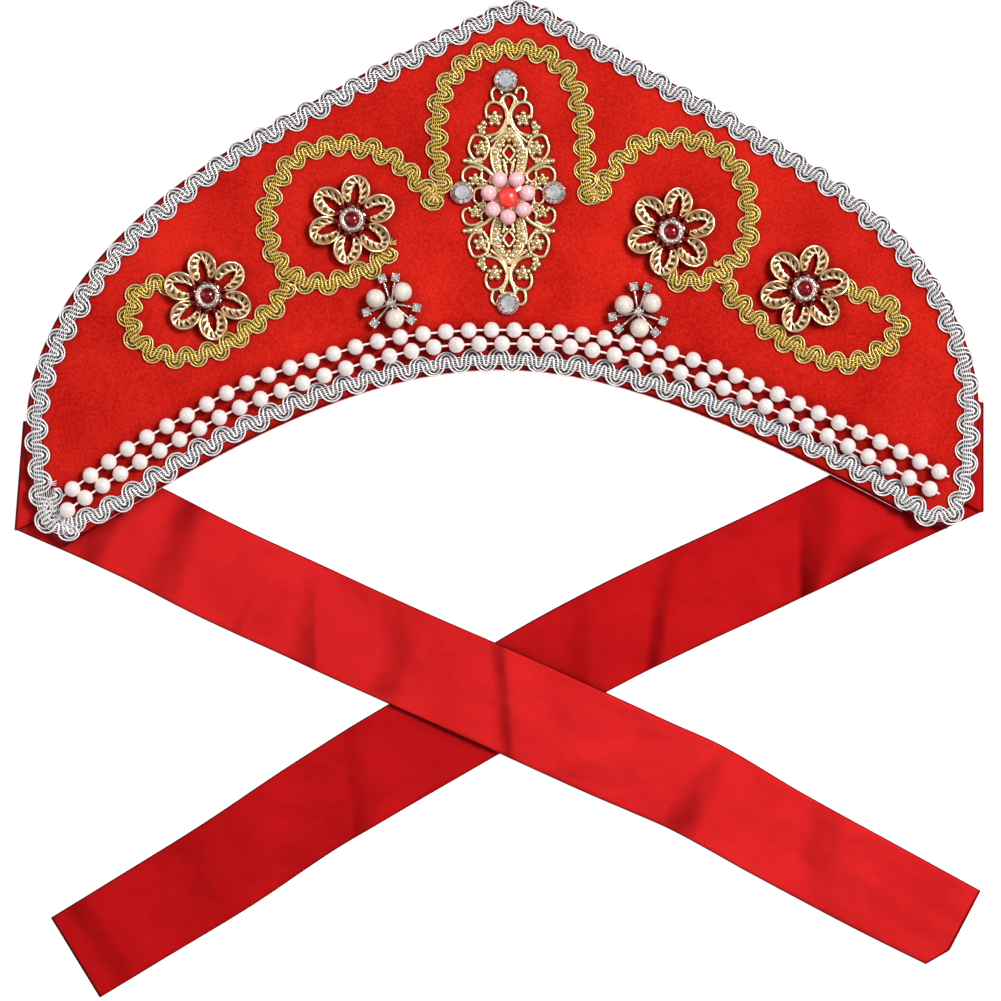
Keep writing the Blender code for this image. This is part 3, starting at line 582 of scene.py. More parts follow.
def makeTie(side, towards, finish, seed):
    tie = tieShape[side]
    tucked, run = tieSections(tie, towards)
    count = len(run)
    share = np.linspace(-1, 1, tieShape["across"])
    reach = pathReach(run[:, :2])
    relief = np.zeros((count, len(share)))
    spread = share[None, :] * np.linalg.norm(run[:, 2:4], axis=1)[:, None]
    ripple = tieShape["ripple"]
    for fold in tie["folds"]:
        relief += foldRelief(fold, reach[:, None], share[None, :])
    for i in range(count):
        for j in range(len(share)):
            spot = Vector((reach[i] / ripple["along"], spread[i, j] / ripple["across"], seed))
            coarse, fine = noise.noise(spot), noise.noise(spot * ripple["finer"])
            relief[i, j] += ripple["high"] * coarse + ripple["fine"] * fine
    relief = np.maximum(relief + ripple["rest"], 0.0)
    relief *= np.clip((reach - tie["clear"][0]) / tie["clear"][1], 0, 1)[:, None]
    sections = np.vstack([tucked, run])
    relief = np.vstack([np.zeros((len(tucked), len(share))), relief])
    middle = np.empty((len(sections), len(share), 3))
    middle[:, :, :2] = sections[:, None, :2] + share[None, :, None] * sections[:, None, 2:4]
    middle[:, :, 2] = sections[:, 4:5] + relief
    if "tip" in tie:
        tip = tie["tip"]
        bulge = tip["reach"] * np.interp(share, [-1, tip["place"], 1], [0, 1, 0])
        ease = np.clip((reach - reach[-1]) / tip["length"] + 1, 0, 1)
        middle[len(tucked):, :, :2] += (ease[:, None] * bulge)[:, :, None] * unit(run[-1, :2] - run[-2, :2])
    alongWay = unit(np.gradient(middle, axis=0))
    acrossWay = unit(np.gradient(middle, axis=1))
    normal = unit(np.cross(alongWay, acrossWay)) * -towards
    half = tieShape["thick"] / 2
    edgeTurns = np.radians([60, 30, 0, -30, -60])
    pot = newPot()
    rings = []
    for row in range(len(sections)):
        mid, up, out = middle[row], normal[row], acrossWay[row]
        top = mid + up * half
        low = mid - up * half
        farEdge = [mid[-1] + out[-1] * half * math.cos(a) + up[-1] * half * math.sin(a) for a in edgeTurns]
        nearEdge = [mid[0] - out[0] * half * math.cos(a) + up[0] * half * math.sin(a) for a in -edgeTurns]
        rings.append(np.vstack([top, farEdge, low[::-1], nearEdge]))
    points = np.vstack(rings)
    points[:, 2] = np.maximum(points[:, 2], tieShape["floor"])
    addPart(pot, points, loopFaces(len(rings), len(rings[0])))
    name = "tieSatin" + side.capitalize()
    piece = buildPiece(name, pot, [finish], ["tie_" + side])
    flatLength = (reach[-1] + pathReach(tucked[:, [0, 1, 4]])[-1]) * mm
    print(name, "flat length", round(flatLength, 4))
    return piece, flatLength


rightTie, rightLength = makeTie("right", -1, rightTieFinish, 8.0)
leftTie, leftLength = makeTie("left", 1, leftTieFinish, 3.0)
print("ties laid")


# Gimp braid: metallic cords that loop out to one side and then the other, bound along the middle

gimpShape = {
    # reaches of the loops, inner first; radius of a cord at the loops and at the middle
    "silver": {"wave": 9.9, "reaches": (2.1, 3.45, 4.2), "cord": (0.33, 0.46)},
    "gold": {"wave": 8.5, "reaches": (2.0, 3.4, 4.2), "cord": (0.33, 0.42)},
    "base": 7.3,
    "crown": 0.3,  # extra height along the middle
    "spine": 1.9,
    "binders": (-1.6, -0.8, 0.0, 0.8, 1.6),  # fine threads along the middle, over and under the cords
    "binder": 0.19,
    "weave": 0.45,  # height by which a binding thread rises over a cord
    "shadeBand": {"drop": 0.25, "thick": 0.15, "inset": 0.3},  # a dark band under the cords, painted shade in the gaps between them
    "stray": 0.09,  # share by which the loops differ from one another
    # loose threads at a cut end
    "fray": {"threads": 7, "fan": 17, "length": 2.2, "longer": 0.5, "bend": 14.3, "radius": 0.16},
}
goldRoutes = {
    "crest": [
        (-41.3, 95.2), (-44.6, 89.9), (-53.3, 85.3), (-65.6, 80.8), (-79.5, 85.3), (-86.6, 97.7),
        (-86.6, 111.9), (-77.5, 127.5), (-60.0, 133.3), (-40.9, 128.4), (-28.5, 117.0), (-24.6, 112.2),
        (-22.2, 116.0), (-24.0, 135.2), (-21.0, 154.7), (-8.3, 166.7), (7.5, 169.3), (21.8, 163.7),
        (29.3, 150.9), (31.5, 133.3), (33.0, 115.5), (35.2, 112.3), (38.4, 117.5), (48.8, 131.1),
        (67.5, 136.0), (85.5, 128.8), (93.2, 112.0), (91.5, 94.7), (79.5, 83.4), (64.9, 83.1), (60.8, 85.7),
    ],
    "loop_left": [
        (-80.2, 82.0), (-82.4, 75.2), (-89.9, 67.9), (-99.8, 59.8), (-111.8, 54.6), (-124.1, 53.8),
        (-135.8, 59.8), (-139.2, 70.0), (-134.6, 78.9), (-122.3, 81.2),
    ],
    "loop_right": [
        (83.6, 81.4), (86.6, 77.4), (92.7, 70.9), (102.1, 63.1), (113.1, 56.2), (124.1, 52.1),
        (133.5, 51.8), (142.8, 56.0), (149.0, 64.0), (147.4, 71.6), (139.5, 75.7),
        (133.0, 77.9), (127.6, 79.4),
    ],
}
browBraid = [  # x along the brow and how far in from it the braid's middle runs
    (146.3, 5.2), (111.4, 6.2), (57.0, 4.9), (0.0, 3.6), (-56.3, 4.6), (-109.9, 5.2), (-146.0, 3.6),
]
silverCorners = {  # the braid's middle round the panel's two lower corners; its ends overlap at the left
    "right": [(173.5, 3.0), (170.6, -3.2), (165.0, -6.2), (158.4, -4.6)],
    "left": [(-156.6, -7.2), (-161.4, -8.4), (-165.2, -6.2), (-167.6, -1.4), (-168.6, 4.6)],
    "start": [(-158.8, -9.4), (-163.6, -11.2), (-168.6, -9.2), (-171.4, -3.8), (-172.4, 1.8)],
}


def silverRoute():
    # up the left side, over the peak, down the right, then back along the brow over its own start
    sides = curvePoints(panelShape["sides"], 6)
    edge = sides[:, :2] - flatNormals(sides) * sides[:, 2:]
    edge = edge[(edge[:, 1] > 7) & (np.arange(len(edge)) > 4)]
    browRows = []
    for x, inset in browBraid:
        slope = (browHeight(x + 0.1) - browHeight(x - 0.1)) / 0.2
        normal = np.array([-slope, 1.0]) / math.hypot(slope, 1.0)
        browRows.append(np.array([x, browHeight(x)]) + normal * inset)
    rows = [*silverCorners["start"], *edge[::6], *silverCorners["right"], *browRows, *silverCorners["left"]]
    return curvePoints(rows, 8)


def softened(route, window):
    # evens out a route's corners over a window in millimetres
    route = evenPath(route, int(pathReach(route)[-1] * 2))
    width = max(3, int(window * 2) | 1)
    padded = np.vstack([route[:1]] * (width // 2) + [route] + [route[-1:]] * (width // 2))
    kernel = np.ones(width) / width
    return np.column_stack([np.convolve(column, kernel, mode="valid") for column in padded.T])


def gimpLoops(reaches, turns):
    # each cord as (half waves along, millimetres across): half ovals that change sides at the middle
    cords = []
    last = len(reaches) - 1
    rng = np.random.default_rng(7)
    scales = 1 + gimpShape["stray"] * rng.uniform(-1, 1, turns)
    for k in range(len(reaches)):
        along, across = [], []
        for turn in range(turns):
            rank = k if turn % 2 == 0 else last - k
            half = (2 * rank + 1) / (2 * len(reaches))
            angles = np.linspace(0, math.pi, 8 + 2 * rank)[:-1]
            along.append(turn + 0.5 - half * np.cos(angles))
            across.append((1 - 2 * (turn % 2)) * reaches[rank] * scales[turn] * np.sin(angles))
        cords.append((np.concatenate(along), np.concatenate(across)))
    return cords


def makeGimp(name, route, kind, node, ends):
    # ends are the places and headings of cut ends that fray
    gimp = gimpShape[kind]
    route = softened(route, 3.0)
    reach = pathReach(route)
    turns = 2 * round(reach[-1] / gimp["wave"])
    normals = flatNormals(route)
    middle = gimpShape["base"] + gimpShape["crown"]

    def onRoute(along, across, height):
        spots = np.clip(np.asarray(along) / turns, 0, 1) * reach[-1]
        sides = unit(np.column_stack([np.interp(spots, reach, column) for column in normals.T]))
        flat = pointsAt(route, spots) + sides * np.asarray(across)[:, None]
        return np.column_stack([flat, np.broadcast_to(height, (len(flat),))])

    pot = newPot()
    for k, (along, across) in enumerate(gimpLoops(gimp["reaches"], turns)):
        height = gimpShape["base"] + gimpShape["crown"] * np.exp(-((across / 2.0) ** 2))
        spread = np.minimum(np.abs(across) / gimpShape["spine"] / 1.5, 1)
        radius = gimp["cord"][1] + (gimp["cord"][0] - gimp["cord"][1]) * spread
        outer = k in (0, len(gimp["reaches"]) - 1)
        addPart(pot, *tubeAlong(onRoute(along, across, height), radius, 6), 0 if outer else 1)
    steps = np.linspace(0, turns, turns * 2 * len(gimp["reaches"]) + 1)
    for k, offset in enumerate(gimpShape["binders"]):
        weaving = np.where((np.arange(len(steps)) + 2 * k) % 4 < 2, gimpShape["weave"], 0.0)
        path = onRoute(steps, np.full(len(steps), offset), middle + weaving)
        addPart(pot, *tubeAlong(path, gimpShape["binder"], 4), 1)
    # a dark band under the cords: painted shade in the gaps between them
    steps = np.linspace(0, turns, turns * 12 + 1)
    widest = gimp["reaches"][-1]
    half = 1 - 0.5 / len(gimp["reaches"])
    shadeBand = gimpShape["shadeBand"]
    borders = []
    for side in (0, 1):
        away = np.abs((steps + 0.5 - side) % 2 - 1) / half
        oval = widest * np.sqrt(np.maximum(1 - away**2, 0)) - shadeBand["inset"]
        borders.append(np.maximum(oval, gimpShape["spine"]))
    top = gimpShape["base"] - shadeBand["drop"]
    low = top - shadeBand["thick"]
    corners = ((borders[0], top), (-borders[1], top), (-borders[1], low), (borders[0], low))
    band = np.stack([onRoute(steps, across, height) for across, height in corners], axis=1)
    addPart(pot, band.reshape(-1, 3), loopFaces(len(steps), 4), 2, False)
    fray = gimpShape["fray"]
    for x, y, heading in ends:
        for k in range(fray["threads"]):
            way = heading + (k - fray["threads"] // 2) * fray["fan"]
            tip = polar((x, y), fray["length"] + fray["longer"] * (k % 3), way)
            side = polar((x, y), fray["length"] / 2, way + fray["bend"])
            path = [(x, y, middle - 0.2), (*side, middle + 0.3), (*tip, middle - 0.1)]
            addPart(pot, *tubeAlong(curvePoints(path, 3), fray["radius"], 5), k % 2)
    return buildPiece(name, pot, gimpFinishes[kind], [node])


gimpFinishes = {
    "silver": [silverOuter, silverInner, silverShadeBacking],
    "gold": [goldOuter, goldInner, goldShadeBacking],
}
makeGimp("silverGimp", silverRoute(), "silver", "silver_braid", [(-168.6, 5.4, 60)])
for gimpName, gimpNode, cutEnds in (
    ("Crest", "crest", [(81.4, 87.6, 80), (-41.0, 95.6, 60)]),
    ("LoopLeft", "loop_left", []),
    ("LoopRight", "loop_right", []),
):
    goldRoute = curvePoints(goldRoutes[gimpNode])
    makeGimp("goldGimp" + gimpName, goldRoute, "gold", "gold_braid_" + gimpNode, cutEnds)
print("gimp sewn on")


# Two strings of pearls along the brow

pearlShape = {
    "radius": 3.0,
    "thread": 0.42,
    "seat": 9.9,  # height of the pearls' middles
    "lift": 1.1,  # the lower string rises over the brow's braid
    "liftReach": 62.0,
    "tails": (4.6, 4.2),  # thread beyond the first and the last pearl
    "upper": [
        (-160.1, 4.3), (-139.5, 19.3), (-117.2, 31.9), (-94.7, 43.9), (-70.5, 52.3), (-45.8, 59.6),
        (-20.3, 63.2), (5.4, 63.8), (30.8, 62.1), (55.9, 57.3), (80.4, 49.9), (103.9, 39.8),
        (126.9, 29.1), (150.0, 18.3), (164.4, 10.8),
    ],
    "lower": [
        (-162.0, -3.6), (-142.1, 10.0), (-120.0, 22.9), (-97.5, 34.8), (-73.9, 44.0), (-49.5, 51.9),
        (-24.8, 57.4), (0.8, 58.7), (26.3, 57.6), (51.0, 52.5), (75.8, 45.2), (99.4, 35.2),
        (122.6, 24.2), (145.5, 12.6), (160.9, 4.4),
    ],
}


def makePearlString(name, rows, lift, node):
    path = curvePoints(rows, 6)  # a row for every third pearl; the last row ends a span of two
    spots = path[[*range(0, len(path) - 6, 2), -4, -1]]
    share = np.minimum(np.abs(spots[:, 0]) / pearlShape["liftReach"], 1)
    heights = pearlShape["seat"] + lift * np.sqrt(np.cos(share * math.pi / 2))
    centres = np.column_stack([spots, heights])
    pot = newPot()
    for centre in centres:
        addPart(pot, *ball(centre, pearlShape["radius"], 32, 16))
    ways = unit(np.gradient(centres, axis=0))
    start, end = pearlShape["tails"]
    thread = np.vstack([centres[:1] - ways[:1] * start, centres, centres[-1:] + ways[-1:] * end])
    addPart(pot, *tubeAlong(thread, pearlShape["thread"], 8), 1)
    return buildPiece(name, pot, [pearlFinish, threadFinish], [node])


makePearlString("pearlStringUpper", pearlShape["upper"], 0.0, "pearl_string_upper")
makePearlString("pearlStringLower", pearlShape["lower"], pearlShape["lift"], "pearl_string_lower")
print("pearls strung")


# Filigree flowers with a garnet centre

flowerShape = {
    "petals": 6,
    "slots": 9,
    "spread": 150,  # degrees each way round the petal's oval
    "outer": {"middle": 11.0, "long": 6.0, "wide": 5.35},
    "inner": {"middle": 9.7, "long": 4.0, "wide": 1.25},
    "rows": [0.0, 0.13, 0.25, 0.75, 0.87, 1.0],
    "slot": (0.26, 0.72),  # the part of each length that is pierced
    "slant": 0.20,
    "scallop": 0.30,
    "sheet": 0.9,
    "shade": {"sheet": 0.25, "drop": 0.55},  # a dark sheet below the slots, painted shade seen through them
    "base": 8.55,
    "dish": [(4.2, 6.9), (4.6, 8.0), (5.0, 8.3), (5.2, 8.6), (5.0, 8.8), (4.2, 8.8)],  # radius, height
    "stones": {"count": 12, "reach": 6.0, "base": 9.15, "radius": 1.2, "height": 1.1},
    "collar": [(4.75, 9.2), (4.95, 9.8), (4.6, 10.5), (3.4, 10.9), (2.8, 10.6), (2.7, 9.4)],
    "grains": {"count": 14, "reach": 3.95, "height": 10.7, "radius": 0.62},
    "dome": {"edge": 2.75, "base": 10.6, "top": 11.6, "round": 4.28, "tilts": (34, 27, 20, 13, 6)},
    "places": {
        "outer_left": (-109.5, 76.7, 41), "inner_left": (-55.5, 105.2, 22),
        "inner_right": (64.1, 100.7, 16), "outer_right": (114.2, 79.3, 12),
    },
}


def petalPoint(a, w):
    # a runs round the petal from -1 to 1, w from its inner to its outer edge
    turn = math.radians(flowerShape["spread"]) * a
    inner, outer = flowerShape["inner"], flowerShape["outer"]
    p0 = inner["middle"] + inner["long"] * math.cos(turn)
    q0 = inner["wide"] * math.sin(turn) * (1.15 - 0.35 * math.cos(turn))
    q0 += flowerShape["scallop"] * math.cos(math.pi * a * flowerShape["slots"] / 0.92) * math.sin(turn)
    p1 = outer["middle"] + outer["long"] * math.cos(turn)
    q1 = outer["wide"] * math.sin(turn)
    p, q = p0 + (p1 - p0) * w, q0 + (q1 - q0) * w
    rim = 0.32 * abs(2 * w - 1) ** 3
    cup = 0.75 * ((p - 6) / 11) ** 2 + 1.7 * (q / 4.75) ** 2
    return p, q, flowerShape["base"] + rim + cup


def makePetals(pierced, thickness, drop):
    pot = newPot()
    rows = flowerShape["rows"]
    first, last = flowerShape["slot"]
    edges = [-1.0]
    pitch = 1.84 / flowerShape["slots"]
    for slot in range(flowerShape["slots"]):
        start = -0.92 + slot * pitch
        edges += [start + pitch * first, start + pitch * last, start + pitch]
    edges[-1] = 1.0
    for petal in range(flowerShape["petals"]):
        points = []
        for a in edges:
            for w in rows:
                lean = flowerShape["slant"] * (w - 0.5) * (1 - a * a)
                points.append(petalPoint(a + lean, w))
        faces = []
        for column in range(len(edges) - 1):
            for row in range(len(rows) - 1):
                if pierced and column % 3 == 1 and row == 2:
                    continue
                if not pierced and row in (0, 4):
                    continue
                corner = column * len(rows) + row
                faces.append([corner, corner + len(rows), corner + len(rows) + 1, corner + 1])
        addPart(pot, placed(points, (0, 0), petal * 60), faces)
    mesh = bpy.data.meshes.new("flowerPetals")
    mesh.from_pydata(((np.vstack(pot["points"]) - [0, 0, drop]) * mm).tolist(), [], pot["faces"])
    shaped = bpy.data.objects.new("flowerPetals", mesh)
    bpy.context.scene.collection.objects.link(shaped)
    sheet = shaped.modifiers.new("sheet", "SOLIDIFY")
    sheet.thickness = thickness * mm
    sheet.offset = 0.0
    soft = shaped.modifiers.new("soft", "SUBSURF")
    soft.levels = 1
    soft.render_levels = 1
    bpy.context.view_layer.update()
    graph = bpy.context.evaluated_depsgraph_get()
    petals = bpy.data.meshes.new_from_object(shaped.evaluated_get(graph))
    bpy.data.objects.remove(shaped)
    bpy.data.meshes.remove(mesh)
    spots = np.empty(len(petals.vertices) * 3)
    petals.vertices.foreach_get("co", spots)
    faces = [list(face.vertices) for face in petals.polygons]
    bpy.data.meshes.remove(petals)
    return spots.reshape(-1, 3) / mm, faces


def makeFlower(name, spot, turn, petalParts):
    pot = newPot()
    for layer, (points, faces) in enumerate(petalParts):
        addPart(pot, placed(points, spot, turn), faces, layer)
    points, faces = turned(flowerShape["dish"], 36)
    angles = np.arctan2(points[:, 1], points[:, 0])
    points[:, :2] *= (1 + 0.08 * np.cos(6 * angles))[:, None]
    addPart(pot, placed(points, spot, turn), faces)
    finishes = [paleGold, goldShadeBacking]
    buildPiece("flowerPetals_" + name, pot, finishes, ["filigree_flower_" + name])
    pot = newPot()
    stones, grains, dome = flowerShape["stones"], flowerShape["grains"], flowerShape["dome"]
    for k in range(stones["count"]):
        seat = polar((0, 0), stones["reach"], 360 * (k + 0.5) / stones["count"])
        addPart(pot, *cutStone((*seat, stones["base"]), stones["radius"], stones["height"], 8, 0.5), 0, False)
    addPart(pot, *turned(flowerShape["collar"], 36), 1)
    for k in range(grains["count"]):
        seat = polar((0, 0), grains["reach"], 360 * k / grains["count"])
        addPart(pot, *ball((*seat, grains["height"]), grains["radius"], 10, 6), 1)
    profile = [(dome["edge"], dome["base"] - 0.6), (dome["edge"], dome["base"])]
    for tilt in dome["tilts"]:
        rise = math.cos(math.radians(tilt)) - math.cos(math.radians(40))
        profile.append((dome["round"] * math.sin(math.radians(tilt)), dome["base"] + dome["round"] * rise))
    profile.append((0.02, dome["top"]))
    addPart(pot, *turned(profile, 32))
    pot["points"] = [placed(points, spot, turn) for points in pot["points"]]
    finishes = [garnetFinish, silverMetal]
    buildPiece("flowerCentre_" + name, pot, finishes, ["flower_centre_" + name])


# the second sheet has no slots and lies lower, in the dark backing: painted shade seen through the slots
shade = flowerShape["shade"]
petals = [
    makePetals(True, flowerShape["sheet"], 0.0),
    makePetals(False, shade["sheet"], shade["drop"]),
]
for flowerName, (*flowerSpot, flowerTurn) in flowerShape["places"].items():
    makeFlower(flowerName, flowerSpot, flowerTurn, petals)
print("flowers set")


# Filigree lozenge with its pearl rosette and four foiled stones

lozengeShape = {
    "centre": (3.3, 114.2),
    "height": 7.45,
    "fuller": 1.4,  # the cast wires are this much thicker than their traced lines
    "wires": [  # one quarter, which the other three mirror: radius and the points it runs through
        (0.46, [(0.0, 38.2), (1.6, 37.5), (2.2, 36.0), (1.4, 33.6), (0.6, 31.6), (0.5, 29.4), (0.5, 26.5)]),
        (0.46, [(2.6, 38.3), (3.0, 39.8), (4.7, 40.7), (6.2, 39.4), (6.3, 37.2), (5.6, 35.3)]),
        (0.44, [(2.1, 37.2), (2.9, 35.8), (3.4, 34.6)]),
        (0.46, [(0.8, 29.2), (1.2, 32.0), (2.9, 34.3), (5.5, 35.2), (7.5, 34.6), (8.6, 32.3), (8.2, 29.0)]),
        (0.46, [(0.7, 29.4), (1.8, 26.6), (3.8, 24.0), (6.1, 22.9), (8.6, 22.5)]),
        (0.40, [(0.6, 27.4), (2.4, 24.2), (5.0, 21.8), (6.9, 20.2)]),
        (0.46, [
            (8.4, 21.6), (11.2, 22.8), (13.2, 22.6), (14.4, 20.5), (15.0, 17.7), (14.1, 15.1), (12.7, 13.7),
        ]),
        (0.42, [(9.0, 22.3), (7.9, 20.5), (7.5, 18.3), (8.3, 15.4), (9.8, 13.3)]),
        (0.62, [(16.2, 13.2), (13.8, 12.8), (11.2, 11.6), (8.1, 9.7), (5.8, 7.4)]),
        (0.44, [(9.8, 9.4), (12.9, 10.9), (15.8, 10.5), (17.2, 8.5), (17.1, 6.0), (15.9, 4.6)]),
        (0.42, [(6.8, 8.3), (6.9, 6.4), (8.4, 5.4), (10.2, 6.6), (10.0, 9.0)]),
        (0.42, [(9.3, 0.0), (9.6, 2.2), (11.2, 3.0), (12.8, 1.9), (13.2, 0.0)]),
        (0.44, [(0.3, 12.9), (1.6, 11.8), (1.0, 9.4), (0.8, 7.2)]),
        (0.44, [(2.3, 13.9), (1.5, 11.9), (1.1, 9.0)]),
        (0.40, [(0.0, 19.2), (1.3, 17.6), (2.1, 16.1), (1.3, 14.6), (0.0, 13.2)]),
        (0.42, [(6.4, 18.4), (6.6, 14.6), (6.0, 11.0), (4.6, 7.6)]),
    ],
    "webs": [  # flattened gold under the beads: radius and the points it runs through
        (1.45, [(0.0, 25.4), (1.9, 22.6), (4.0, 19.2), (5.0, 16.0), (4.7, 12.6), (3.9, 8.0)]),
        (0.9, [(8.8, 27.6), (10.3, 25.4), (9.7, 22.6)]),
        (1.0, [(9.8, 13.4), (12.6, 13.0), (15.6, 13.1)]),
    ],
    "plate": [(6.6, 6.95), (6.8, 7.4), (6.4, 7.7), (1.0, 7.75)],  # radius, height
    "florets": [(5.3, 28.9, 2.5), (10.4, 17.8, 2.5), (12.6, 6.0, 2.1), (10.0, 4.0, 1.5)],
    "floret": {"petals": 5, "reach": 0.86, "petal": 0.42, "eye": 0.38, "leaf": 0.85},  # shares of its reach
    "balls": [  # x, y, radius
        (9.5, 27.4, 0.9), (11.2, 25.7, 0.9), (9.6, 23.8, 0.9), (9.3, 25.6, 0.7), (0.0, 25.0, 0.8),
        (1.2, 22.4, 1.15), (0.0, 20.9, 0.8), (2.6, 20.9, 0.8), (3.8, 19.0, 1.1), (2.2, 19.0, 0.65),
        (5.2, 16.3, 1.0), (3.3, 16.9, 0.75), (4.5, 14.3, 0.8), (3.1, 14.9, 0.6), (5.0, 12.5, 0.8),
        (3.6, 12.4, 0.6), (4.6, 10.6, 0.75), (3.4, 10.0, 0.6), (4.0, 8.6, 0.7), (14.5, 13.0, 1.0),
        (16.6, 13.2, 0.8), (12.4, 12.9, 0.7), (6.6, 5.0, 0.8), (8.4, 4.2, 0.7), (9.2, 2.6, 0.65),
        (15.0, 4.6, 0.6), (8.5, 20.1, 0.75), (8.6, 15.0, 0.65), (7.2, 22.0, 0.6),
    ],
}


def makeLozenge():
    x, y = lozengeShape["centre"]
    height = lozengeShape["height"]
    fuller, floret = lozengeShape["fuller"], lozengeShape["floret"]
    pot = newPot()
    for flipX, flipY in ((1, 1), (-1, 1), (-1, -1), (1, -1)):
        for key, drop, squash in (("wires", 0.0, 0.9), ("webs", 0.25, 0.2)):
            for radius, rows in lozengeShape[key]:
                path = curvePoints(rows, 6) * [flipX, flipY] + [x, y]
                if flipX * flipY < 0:
                    path = path[::-1]
                rise = height - drop + 0.12 * np.sin(np.linspace(0, math.pi * 2, len(path)))
                addPart(pot, *tubeAlong(np.column_stack([path, rise]), radius * fuller, 8, squash))
        for floretX, floretY, reach in lozengeShape["florets"]:
            centre = (x + flipX * floretX, y + flipY * floretY)
            addPart(pot, *ball((*centre, height - 0.2), reach * floret["leaf"], 12, 6, 0.2))
            addPart(pot, *ball((*centre, height + 0.4), reach * floret["eye"], 10, 8))
            for k in range(floret["petals"]):
                spot = polar(centre, reach * floret["reach"], 360 * k / floret["petals"] + 90)
                addPart(pot, *ball((*spot, height + 0.12), reach * floret["petal"], 10, 8))
        for ballX, ballY, radius in lozengeShape["balls"]:
            if ballX == 0 and flipX < 0:
                continue
            addPart(pot, *ball((x + flipX * ballX, y + flipY * ballY, height), radius * 1.2, 10, 8, 0.8))
    addPart(pot, *turned(lozengeShape["plate"], 32, (x - 0.3, y - 0.6, 0)))
    return buildPiece("filigreeLozenge", pot, [oldGold], ["filigree_lozenge"])


rosetteShape = {
    "centre": (3.0, 113.5),
    "pearl": 3.0,
    "ring": 7.4,
    "seat": 8.2,
    "count": 7,
    "cabochon": {"radius": 3.95, "waist": 1.2, "high": 2.8},
}
stoneShape = {
    "radius": 4.25,
    "height": 2.3,
    "seat": 8.2,
    "bezel": [(3.2, 6.9), (4.1, 7.6), (4.35, 8.2), (4.3, 8.5), (4.0, 8.5)],  # radius, height
    "places": {  # x, y, turn
        "top": (2.1, 157.5, 10), "left": (-14.3, 115.4, 25),
        "right": (20.2, 115.4, 40), "bottom": (3.0, 74.0, 5),
    },
}


def makeRosette():
    centre, seat, pearl = rosetteShape["centre"], rosetteShape["seat"], rosetteShape["pearl"]
    for k in range(rosetteShape["count"]):
        spot = polar(centre, rosetteShape["ring"], 360 * k / rosetteShape["count"] - 90)
        pot = newPot()
        addPart(pot, *ball((*spot, seat + pearl), pearl, 32, 16))
        number = str(k + 1)
        buildPiece("pinkPearl_" + number, pot, [pinkPearlFinish], ["pink_pearl_" + number])
    pot = newPot()
    radius, waist, high = rosetteShape["cabochon"].values()
    dome = [(radius - 0.35, 0.0), (radius - 0.05, 0.5)]
    for tilt in np.radians(range(0, 90, 10)):
        dome.append((radius * math.cos(tilt), waist + high * math.sin(tilt)))
    dome.append((0.02, waist + high))
    addPart(pot, *turned(dome, 40, (*centre, seat)))
    buildPiece("coralCabochon", pot, [coralFinish], ["coral_cabochon"])


def makeRhinestones():
    for name, (x, y, twist) in stoneShape["places"].items():
        pot = newPot()
        addPart(pot, *turned(stoneShape["bezel"], 32, (x, y, 0)), 1)
        seat = (x, y, stoneShape["seat"])
        stone = cutStone(seat, stoneShape["radius"], stoneShape["height"], 12, 0.62, 0.35, twist)
        addPart(pot, *stone, 0, False)
        finishes = [foilStone, silverMetal]
        buildPiece("rhinestone_" + name, pot, finishes, ["rhinestone_" + name])


makeLozenge()
makeRosette()
makeRhinestones()
print("centrepiece set")


# Pearl and stone sprays

sprayShape = {
    "places": {"left": (-40.8, 73.9, 44), "right": (51.8, 70.5, 34)},
    "base": 6.95,
    "hub": [(2.2, 6.95), (2.4, 7.85), (1.6, 8.55), (1.2, 12.0)],  # radius, height
    "cap": [(0.5, 7.45), (1.6, 8.05), (2.2, 8.85), (2.0, 8.85)],
    "wire": 0.5,
    "middle": {"base": 11.4, "top": 13.6, "size": 1.5},
    "pearl": {"radius": 3.6, "reach": 6.0, "height": 12.2},
    "stone": {"turns": (36, 66), "reach": 9.8, "bow": 4.5, "base": 7.35, "top": 10.5, "size": 1.62},
    "bead": {"reach": 6.6, "height": 8.3, "radius": 0.7},  # on the wire of each end stone
}


def claspedStone(pot, centre, turn, base, top, size):
    # a square claw cup holding a cut stone
    cup = [(0.45 * size, base), (0.75 * size, base + 0.5), (1.25 * size, top - 0.7), (1.3 * size, top - 0.3)]
    points, faces = turned(cup, 4)
    addPart(pot, placed(points, centre, turn + 45), faces, 0, False)
    for k in range(4):
        foot = polar(centre, 1.15 * size, turn + 90 * k + 45)
        tip = polar(centre, 1.02 * size, turn + 90 * k + 45)
        claw = np.linspace((*foot, top - 1.0), (*tip, top + 0.1), 4)
        addPart(pot, *tubeAlong(claw, [0.30 * size, 0.30 * size, 0.28 * size, 0.2 * size], 6))
        addPart(pot, *ball((*tip, top + 0.08), 0.33 * size, 8, 6))
    addPart(pot, *cutStone((*centre, top - 0.8), 0.98 * size, 0.85, 8, 0.55, 0.1, turn), 1, False)


